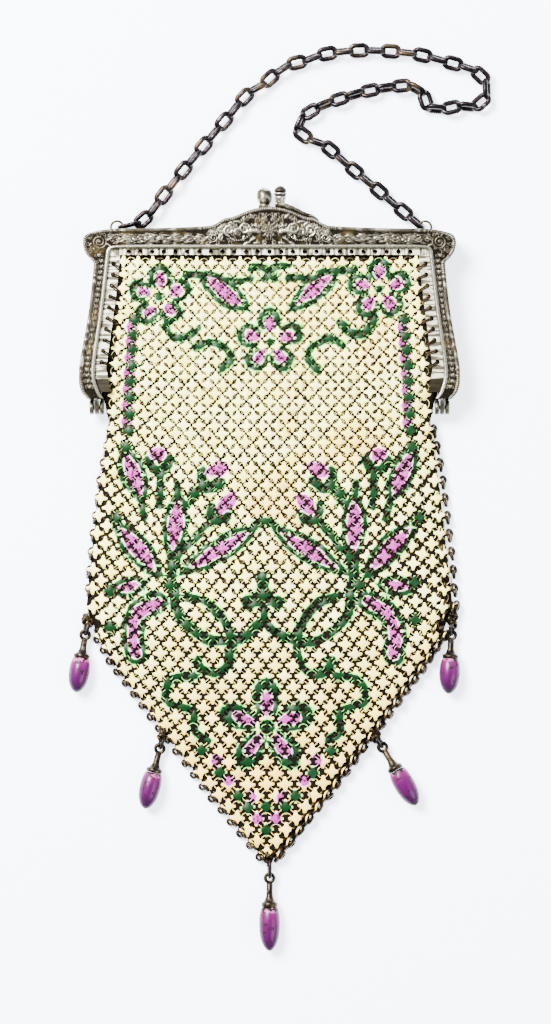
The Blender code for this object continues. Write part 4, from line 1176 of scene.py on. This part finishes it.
def frameHalf(side, joint, relief):
    # One half: flange, rope border, ornamented ground, plain inner ridge, and its inside.
    f = frameWork
    outer, inner = frameEdges()
    depth = f["halfDepth"]
    run = np.concatenate([[0.0], np.cumsum(np.hypot(*np.diff(outer, axis=0).T))])
    rows = len(outer)
    width = np.hypot(*(inner - outer).T)[:, None]
    border = f["border"]
    edgePart = np.array([0.0, 0.12, 0.30, 0.50, 0.70, 0.88, 1.0])
    high = np.array([-0.50, -0.22, -0.04, 0.0, -0.04, -0.20, -f["ground"]])
    groundPart = np.linspace(0.0, 1.0, f["across"] + 2)[1:-1]
    distance = np.concatenate([
        np.tile(edgePart * border, (rows, 1)),
        border + (width - 2 * border) * groundPart[None, :],
        width - border * edgePart[None, ::-1]], axis=1)
    level = np.concatenate([
        np.tile(high, (rows, 1)), np.full((rows, f["across"]), -f["ground"]),
        np.tile(high[::-1], (rows, 1))], axis=1)
    share = distance / width
    plan = outer[:, None, :] + (inner - outer)[:, None, :] * share[:, :, None]
    shine = np.full(level.shape, 0.75)
    shine[:, 0] = shine[:, -1] = 0.5
    ground = slice(len(edgePart) - 1, len(edgePart) + f["across"] + 1)
    if relief:
        rope = np.sin(2 * math.pi * run / f["ropePitch"])[:, None]
        level[:, 1:6] += (rope - 1) * f["ropeDepth"] * np.array([0.5, 1, 1, 1, 0.5])
        shine[:, 1:6] = 0.52 + 0.26 * rope
        field = reliefField(plan[:, ground].reshape(-1, 2)).reshape(rows, -1)
        level[:, ground] += field * (f["ground"] - 0.02)
        shine[:, ground] = 0.12 + 0.85 * field
    else:
        level[:, ground] = -0.05
        level[:, 1:6] = np.maximum(level[:, 1:6], np.array([-0.22, -0.06, -0.05, -0.05, -0.05]))
        level[:, -6:-1] = np.array([-0.05, -0.05, -0.05, -0.06, -0.22])
        shine[:, ground] = 0.45
    # The loop of a section: the flange, the face, then the inner edge and the thin wall
    low = depth - f["edgeLow"]
    loop = []
    for rise, look in ((0.0, 0.35), (2.0, 0.5), (3.6, 0.5), (4.7, 0.55)):
        loop.append((outer, np.full(rows, rise), np.full(rows, look)))
    for column in range(level.shape[1]):
        loop.append((plan[:, column], depth + level[:, column], shine[:, column]))
    within = outer + (inner - outer) * (f["wall"] / width)
    loop.append((inner, np.full(rows, low), np.full(rows, 0.3)))
    loop.append((within, np.full(rows, low), np.full(rows, 0.2)))
    loop.append((within, np.zeros(rows), np.full(rows, 0.3)))
    count = len(loop)
    spots = np.empty((rows, count, 3))
    shines = np.empty((rows, count))
    for column, (where, rise, look) in enumerate(loop):
        spots[:, column, :2] = where
        spots[:, column, 2] = joint + side * rise
        shines[:, column] = look
    spots[:, :, 0] = np.clip(spots[:, :, 0], -f["halfWidth"], f["halfWidth"])
    top = f["barHeight"] / 2 + f["crownRise"]
    spots[:, :, 1] = np.minimum(spots[:, :, 1], top)
    sections = [[tuple(spot * mm) for spot in section] for section in spots]
    mesh = ringMesh(sections, closed=False, way=side)
    marked(mesh, "level", shines)
    foldedUv(mesh, rows, count, side)
    return mesh


# The knuckles of the hinges and the chain's eyes on the back half
hinge = {"joint": 5.95, "pin": -56.0, "radius": 2.4, "spread": 57.6, "pitch": 1.7}
eyes = {"left": -50.96, "right": 52.03, "high": 4.27, "lift": 2.9, "size": 5.0, "wire": 0.8}


def knuckleMesh(middle, away):
    # A rounded hinge bar that runs from the frame's end round the pin.
    radius = hinge["radius"]
    profile = [(-51.9, 5.35), (-54.4, 5.2)]
    for step in range(13):
        angle = math.radians(112 + 19 * step)
        profile.append((hinge["pin"] + radius * math.cos(angle), radius * math.sin(angle)))
    profile += [(-53.6, 2.6), (-53.2, 4.0), (-51.9, 4.3)]
    centre = Vector((0.0, -55.0, 1.6))
    sections = []
    for part, inset in ((-0.70, 0.30), (-0.62, 0.10), (-0.42, 0.0), (0.42, 0.0), (0.62, 0.10),
                        (0.70, 0.30)):
        section = []
        for y, rise in profile:
            spot = Vector((middle + part, y, rise))
            pull = centre - spot
            pull.x = 0.0
            spot += pull.normalized() * inset
            section.append(Vector((spot.x, spot.y, hinge["joint"] + away * spot.z)) * mm)
        sections.append(section)
    return ringMesh(sections, closed=False)


def withLevel(mesh, value):
    return marked(mesh, "level", [value] * len(mesh.vertices))


def buildFrame():
    cast = antiqueSilver("castSilver", dark=0.05)
    worn = antiqueSilver("hingeSilver", {**silver, "gold": "#6E5A1C"}, 0.75)
    parts = {1: [], -1: []}
    for side in (-1, 1):
        for offset, away in ((0, 1), (-1, -1), (1, -1)):
            middle = side * hinge["spread"] + offset * hinge["pitch"]
            parts[away].append(withLevel(outward(knuckleMesh(middle, away)), 0.6))
    for x in (eyes["left"], eyes["right"]):
        eye = wireRing(eyes["size"] * mm, eyes["size"] * mm, eyes["wire"] * mm, 36, 12)
        eye.transform(laidAt(x, eyes["high"], eyes["lift"]))
        parts[-1].append(withLevel(eye, 0.28))
    for name, node, side, joint in (("frameFront", "frame_front", 1, 6.1),
                                    ("frameBack", "frame_back", -1, 5.8)):
        dress(name, frameHalf(side, joint, side == 1), cast, (node,))
        dress(name + "Hinge", joined(parts[side]), worn)
    for node in ("hinge_pin_left", "hinge_pin_right"):
        nodes[node].data.materials.clear()
        nodes[node].data.materials.append(pinMetal)
    print("stage: frame")


# Pierced rails

rail = {"wall": 0.8, "tuck": 0.9, "side": 3.6, "top": 2.0, "hole": 0.8, "pitch": 3.9,
        "topHoles": 25, "sideHoles": 10, "sidePitch": 0.93, "sideFirst": 1.1, "endDrop": 0.91}
# The links in its holes; reach, height, slope, length and width along the top and the sides
railLink = {"long": 3.3, "wide": 1.5, "wire": 0.66, "top": (1.5, 9.6, 24, 1.0, 1.0),
            "side": (1.75, 10.75, 13, 1.3, 0.72)}


def armInner(y):
    # How far the arm's inner edge lies from the middle at a height.
    f = frameWork
    drops, outers, widths = zip(*sorted(armSections))
    drop = -y / f["hingeDrop"]
    outer = np.interp(drop, drops, outers) * f["halfWidth"]
    return float(outer - np.interp(drop, drops, widths) * f["armWidth"])


def railHoles():
    spots = []
    topY = -frameWork["barHeight"] / 2 - rail["top"] / 2
    for index in range(rail["topHoles"]):
        spots.append(((index - (rail["topHoles"] - 1) / 2) * rail["pitch"], topY))
    for index in range(rail["sideHoles"]):
        y = topY - (index + rail["sideFirst"]) * rail["pitch"] * rail["sidePitch"]
        for side in (-1, 1):
            spots.append((side * (armInner(y) - rail["side"] / 2), y))
    return spots


def railMesh(low, high):
    # The strip as a closed plate with round holes cut through it.
    left = []
    for drop in [rail["endDrop"]] + [row[0] for row in armSections[2:]]:
        y = -drop * frameWork["hingeDrop"]
        left.append(((-armInner(y) - rail["tuck"], y), (-armInner(y) + rail["side"], y)))
    corner = cornerSections[0][2] * frameWork["halfWidth"]
    edge = -frameWork["barHeight"] / 2
    left.append(((-corner - rail["tuck"], edge + rail["tuck"]),
                 (-corner + rail["side"], edge - rail["top"])))
    sections = []
    for (ox, oy), (ix, iy) in mirrored(left):
        corners = ((ox, oy, low), (ix, iy, low), (ix, iy, high), (ox, oy, high))
        sections.append([Vector(corner) * mm for corner in corners])
    strip = placed("strip", outward(ringMesh(sections, closed=False)))
    bm = bmesh.new()
    for x, y in railHoles():
        bmesh.ops.create_cone(bm, cap_ends=True, segments=16, radius1=rail["hole"] * mm,
                              radius2=rail["hole"] * mm, depth=3 * mm,
                              matrix=laidAt(x, y, (low + high) / 2))
    punches = bpy.data.meshes.new("holes")
    bm.to_mesh(punches)
    bm.free()
    cut = strip.modifiers.new("cut", "BOOLEAN")
    cut.operation = "DIFFERENCE"
    cut.solver = "EXACT"
    cut.object = placed("holes", outward(punches))
    return plainMesh(strip, cut.object)


def railLinks():
    # Dark links that go through the rail's holes and hold the first plates and rings.
    metal = gunmetal("railLinks", "#0E0A06", "#261E14", "#5E5340")
    chance = random.Random(3)
    link = wireRing(*(railLink[size] * mm for size in ("long", "wide", "wire")), 16, 6)
    places, turns, sizes, tones = [], [], [], []
    for x, y in railHoles():
        atTop = y > -4.8 and abs(x) < 48.0
        heading = math.radians(-90 if atTop else (-32 if x < 0 else -148))
        heading += math.radians(chance.uniform(-12, 12))
        reach, rise, slope, longer, wider = railLink["top" if atTop else "side"]
        places.append(((x + reach * math.cos(heading)) * mm,
                       (y + reach * math.sin(heading)) * mm, rise * mm))
        turns.append((0.0, math.radians(slope), heading))
        sizes.append((chance.uniform(0.95, 1.05) * longer, wider, 1.0))
        tones.append(chance.random())
    mesh = scattered(places, turns, sizes, tones, link, metal)
    dress("railLinks", mesh, metal)


def buildRails():
    railLinks()
    metal = brightSilver()
    for name, node, low in (("railFront", "rail_front", 9.7), ("railBack", "rail_back", 1.4)):
        dress(name, railMesh(low, low + rail["wall"]), metal, (node,), smooth=False)
    print("stage: rails")


# Carry chain

chain = {"wire": 1.25, "shown": 1.80, "width": 5.3, "bite": 0.20, "count": 52,
         "upper": 26, "lean": 20.0, "ringWire": 1.4}
chainRoute = (
    (-44.2, 5.2), (-40.4, 8.4), (-36.3, 13.9), (-29.9, 22.1), (-23.9, 29.4), (-17.9, 36.6),
    (-11.5, 44.1), (-7.9, 48.8), (-1.5, 52.6), (4.8, 58.2), (9.7, 59.3), (18.2, 62.3),
    (29.2, 63.5), (39.6, 63.3), (50.0, 62.2), (59.3, 59.7), (68.3, 57.1), (72.2, 53.8),
    (73.4, 49.4), (70.0, 45.1), (65.7, 44.1), (61.3, 45.8), (57.0, 43.2), (52.6, 44.6),
    (51.6, 49.0), (49.0, 51.9), (45.6, 51.8), (35.3, 50.5), (25.2, 47.8), (15.9, 44.4),
    (9.4, 39.8), (9.2, 36.6), (12.2, 34.1), (18.2, 32.1), (25.9, 25.4), (33.6, 19.1),
    (41.3, 12.5), (46.0, 8.6), (50.9, 4.5))


def spotAt(line, place):
    index = min(int(place), len(line) - 2)
    return line[index].lerp(line[index + 1], place - index)


def nextPlace(line, place, chord):
    # Place on the line that lies one chord further on, or None at its end.
    start = spotAt(line, place)
    index = int(place) + 1
    while index < len(line) and (line[index] - start).length < chord:
        index += 1
    if index >= len(line):
        return None
    low, high = max(index - 1, place), index
    for _ in range(30):
        middle = (low + high) / 2
        if (spotAt(line, middle) - start).length < chord:
            low = middle
        else:
            high = middle
    return high


def linkEnds(line, pitch):
    ends = []
    place = 0.0
    for index in range(chain["count"]):
        following = nextPlace(line, place, pitch)
        if following is None:
            return None
        ends.append((spotAt(line, place), spotAt(line, following)))
        place = following
        if index + 1 == chain["upper"]:
            back = nextPlace(line[::-1], len(line) - 1 - place, chain["bite"] + 0.2)
            place = len(line) - 1 - back
    return ends


def buildChain():
    line = smoothLine(chainRoute, 24)
    low, high = chain["width"] / 2, 2 * chain["width"]
    for _ in range(40):
        pitch = (low + high) / 2
        if linkEnds(line, pitch) is None:
            high = pitch
        else:
            low = pitch
    ends = linkEnds(line, low)
    length = low + 2 * chain["wire"] - chain["bite"]
    link = wireRing(length * mm, chain["width"] * mm, chain["shown"] * mm, 28, 10)
    lift = chain["width"] / 2
    runs = {"chain_upper": [], "chain_lower": []}
    for index, (start, end) in enumerate(ends):
        middle = (start + end) / 2
        run = end - start
        # Each link turns against the one before it within its own run
        node, place = "chain_upper", index
        if index >= chain["upper"]:
            node, place = "chain_lower", index - chain["upper"]
        roll = math.radians(chain["lean"] + 90 * (place % 2))
        copy = link.copy()
        copy.transform(laidAt(middle.x, middle.y, lift, math.atan2(run.y, run.x), roll))
        runs[node].append(copy)
    for name, node in (("chainUpper", "chain_upper"), ("chainLower", "chain_lower")):
        dress(name, joined(runs[node]), chainMetal, (node,))
    # The long ring goes from inside the left eye to inside the first link
    start, end = ends[0]
    into = (end - start).normalized()
    clear = 0.3
    pull = 2.65 / 2 + clear
    hold = start - into * (chain["wire"] - chain["bite"]) / 2 + into * pull
    grip = Vector((eyes["left"] + 2.1 - 1.1 - clear, eyes["high"], 0.0))
    lie = hold - grip
    middle = (grip + hold) / 2
    wire = chain["ringWire"]
    ring = wireRing((lie.length + wire) * mm, chain["width"] * mm, wire * mm, 40, 12)
    heading = math.atan2(lie.y, lie.x)
    ring.transform(laidAt(middle.x, middle.y, eyes["lift"], heading, math.pi / 2))
    dress("chainRingLeft", ring, chainMetal, ("chain_ring_left",))
    print("stage: chain")


# Clasp

clasp = {"knobHeight": 7.0, "knobRadius": 2.6, "knobShift": -1.7, "knobSeat": 10.75,
         "knobLift": 2.9, "stem": 0.7, "catchHeight": 6.0, "catchRadius": 2.2,
         "catchShift": 3.6, "catchSeat": 1.45, "catchLift": 9.0, "armLength": 14.6,
         "armSeat": 0.15, "armWide": 3.4, "armThick": 2.0}
# Heights and radii in shares; the right ball has two grooves below its dome
knobShape = ((1.0, 0.0), (0.985, 0.22), (0.955, 0.42), (0.90, 0.64), (0.82, 0.83),
             (0.72, 0.95), (0.60, 1.0), (0.47, 0.985), (0.35, 0.92), (0.24, 0.80),
             (0.17, 0.66), (0.155, 0.62), (0.14, 0.72), (0.10, 0.80), (0.05, 0.80),
             (0.02, 0.74))
catchShape = ((1.0, 0.0), (0.985, 0.25), (0.95, 0.46), (0.88, 0.70), (0.79, 0.88), (0.71, 0.96),
              (0.67, 0.94), (0.655, 0.80), (0.61, 0.80), (0.595, 0.96), (0.55, 1.0),
              (0.49, 0.98), (0.475, 0.80), (0.42, 0.80), (0.40, 0.92), (0.30, 0.88),
              (0.20, 0.78), (0.10, 0.72), (0.02, 0.74))


def claspBall(shape, height, radius, foot):
    profile = [(h * height * mm, r * radius * mm) for h, r in shape]
    return turnedMesh(profile + [(h * mm, r * mm) for h, r in foot], 48)


def claspArm():
    # A flattened arm along the crown's top that thins out to its right end.
    c = clasp
    corners = 16
    start = c["catchShift"] - 0.8 * c["catchRadius"]
    sections = []
    for step in range(25):
        share = step / 24
        x = start + share * c["armLength"]
        low = crownTop(x) + c["armSeat"]
        thick = c["armThick"] * math.sqrt(max(1 - share ** 2, 0.05))
        section = []
        for corner in range(corners):
            angle = 2 * math.pi * corner / corners
            across, rise = [math.copysign(abs(part) ** 0.6, part)
                            for part in (math.cos(angle), math.sin(angle))]
            section.append(Vector((x, low + thick * (0.5 + 0.5 * rise),
                                   c["catchLift"] + c["armWide"] / 2 * across)) * mm)
        sections.append(section)
    return outward(ringMesh(sections, closed=False))


def buildClasp():
    golden = {**silver, "gold": "#7E6A34"}
    metal = antiqueSilver("claspSilver", golden, 0.5, relief=False, dark=-0.08)
    c = clasp
    knob = claspBall(knobShape, c["knobHeight"], c["knobRadius"],
                     ((0.0, c["stem"]), (-2.1, c["stem"]), (-2.1, 0.0)))
    knob.transform(laidAt(c["knobShift"], c["knobSeat"], c["knobLift"]))
    dress("claspKnob", knob, metal, ("clasp_knob",))
    ball = claspBall(catchShape, c["catchHeight"], c["catchRadius"], ((0.0, 0.0),))
    # Its dome is dark and its grooves are darker still
    marks = []
    for vertex in ball.vertices:
        high = vertex.co.y / (c["catchHeight"] * mm)
        wide = math.hypot(vertex.co.x, vertex.co.z) / (c["catchRadius"] * mm)
        groove = 0.38 < high < 0.68 and wide < 0.86
        marks.append(0.0 if groove else 0.22 if high > 0.66 else 0.72)
    marked(ball, "level", marks)
    seat = crownTop(c["catchShift"]) + c["catchSeat"]
    ball.transform(laidAt(c["catchShift"], seat, c["catchLift"]))
    dress("claspCatch", ball, antiqueSilver("catchSilver", golden, 0.5),
          ("clasp_arm",))
    dress("claspArm", claspArm(), metal)
    print("stage: clasp")


# Drops

# Side, share of the way down, heading, length, reach of the ring, and how far it is rolled
drops = ((-1, 0.605, -8.9, 0.80, 1.0, 66), (1, 0.605, -2.9, 0.81, 1.0, 112),
         (-1, 0.794, -14.0, 0.85, 1.0, 70), (1, 0.794, 30.4, 0.92, 1.0, 110),
         (0, 1.0, 0.0, 1.0, 1.4, 82))
dropWork = {"length": 24.3, "bead": 3.5, "flange": 2.7, "reach": 4.2, "wire": 1.15,
            "hold": 0.44, "ringWidth": 4.0, "eyeSize": 4.1, "eyeWire": 1.25, "mouth": -5.7,
            "depth": 201.5, "lugHigh": 0.265 * 11.9 - 0.7, "widest": 0.64, "beadStart": 0.415}
# Height and radius of the cap and of the bead, as shares of the length and of its own radius
capShape = ((0.066, 0.0), (0.066, 0.30), (0.075, 0.40), (0.20, 0.40), (0.235, 0.43),
            (0.27, 0.50), (0.30, 0.60), (0.322, 0.74), (0.334, 0.92), (0.345, 0.99),
            (0.36, 1.0), (0.385, 1.0), (0.398, 0.96), (0.40, 0.80), (0.40, 0.0))
beadShape = ((0.402, 0.0), (0.403, 0.70), (0.418, 0.79), (0.46, 0.88), (0.50, 0.94),
             (0.57, 0.985), (0.64, 1.0), (0.72, 0.97), (0.80, 0.90), (0.87, 0.77),
             (0.93, 0.58), (0.965, 0.40), (0.99, 0.20), (1.0, 0.0))


beadLook = {"upper": "#520744", "middle": "#380234", "lower": "#240228", "rim": "#B85C92",
            "chip": "#120808"}


def beadEnamel():
    n = Nodes(bpy.data.materials.new("beadEnamel"))
    along = n.attribute("along")
    broad = n.noise(260.0, 2.0)
    place = n.math("MULTIPLY_ADD", n.math("SUBTRACT", broad, 0.5), 0.5, along)
    colour = n.mix(n.span(place, 0.0, 0.45), beadLook["upper"], beadLook["middle"])
    colour = n.mix(n.span(place, 0.45, 1.0), colour, beadLook["lower"])
    colour = n.mix(n.span(place, 0.02, 0.10, 0.5, 0.0), colour, beadLook["rim"])
    ends = n.math("MAXIMUM", n.span(along, 0.10, 0.0), n.span(along, 0.86, 1.0))
    chips = n.span(n.math("ADD", n.noise(620.0, 4.0, 0.6), n.math("MULTIPLY", ends, 0.15)),
                   0.60, 0.62)
    colour = n.mix(chips, colour, beadLook["chip"])
    height = n.math("SUBTRACT", n.math("MULTIPLY", broad, 0.3), chips)
    return n.set(colour=colour, rough=n.span(chips, 0.0, 1.0, 0.30, 0.5), metal=0.0,
                 spec=0.12, bump=n.bump(height, 0.0001, 0.8),
                 coat=n.span(chips, 0.0, 1.0, 0.12, 0.0), coatRough=0.2)


def dropSpots():
    w = dropWork
    spots = []
    for side, drop, turn, length, reach, _ in drops:
        y = w["mouth"] - drop * w["depth"] - 0.3
        x = side * (readTable(bagEdge, y + 0.3) + 0.3)
        lug = Vector((x, y, w["lugHigh"]))
        angle = math.radians(turn)
        way = Vector((math.sin(angle), -math.cos(angle), 0.0))
        spots.append((lug, lug + way * w["reach"] * reach, way, length * w["length"]))
    return spots


def buildDrops():
    paint = beadEnamel()
    w = dropWork
    upright = Matrix.Rotation(math.pi / 2, 4, "X")
    for number, (lug, eye, way, length) in enumerate(dropSpots(), 1):
        tag = "_" + str(number)
        middle = (lug + eye) / 2
        ring = wireRing(((eye - lug).length - w["hold"] + w["wire"]) * mm, w["ringWidth"] * mm,
                        w["wire"] * mm, 32, 10)
        ring.transform(laidAt(*middle, math.atan2(way.y, way.x),
                              math.radians(drops[number - 1][-1])))
        dress("dropRing%d" % number, ring, chainMetal, ("drop_ring" + tag,))
        # The widest part of the bead rests on the table
        lift = math.asin((w["bead"] + 0.05 - eye.z) / (w["widest"] * length))
        axis = way * math.cos(lift) + Vector((0.0, 0.0, math.sin(lift)))
        place = laidAt(*eye) @ axis.to_track_quat("-Z", "Y").to_matrix().to_4x4() @ upright
        cap = turnedMesh([(-h * length * mm, r * w["flange"] * mm) for h, r in capShape], 36)
        cap.transform(place)
        eyeRing = wireRing(w["eyeSize"] * mm, w["eyeSize"] * mm, w["eyeWire"] * mm, 28, 10)
        eyeRing.transform(laidAt(*eye))
        dress("dropCap%d" % number, joined([cap, eyeRing]), capMetal,
              ("drop_cap" + tag,))
        bead = turnedMesh([(-h * length * mm, r * w["bead"] * mm) for h, r in beadShape], 48)
        heights = [-v.co.y / mm / length for v in bead.vertices]
        first = w["beadStart"]
        marked(bead, "along", [(high - first) / (1 - first) for high in heights])
        bead.transform(place)
        dress("dropBead%d" % number, bead, paint, ("drop_bead" + tag,))
    print("stage: drops")


buildBag()
buildEdgeRings()
buildFrame()
buildRails()
buildChain()
buildClasp()
buildDrops()
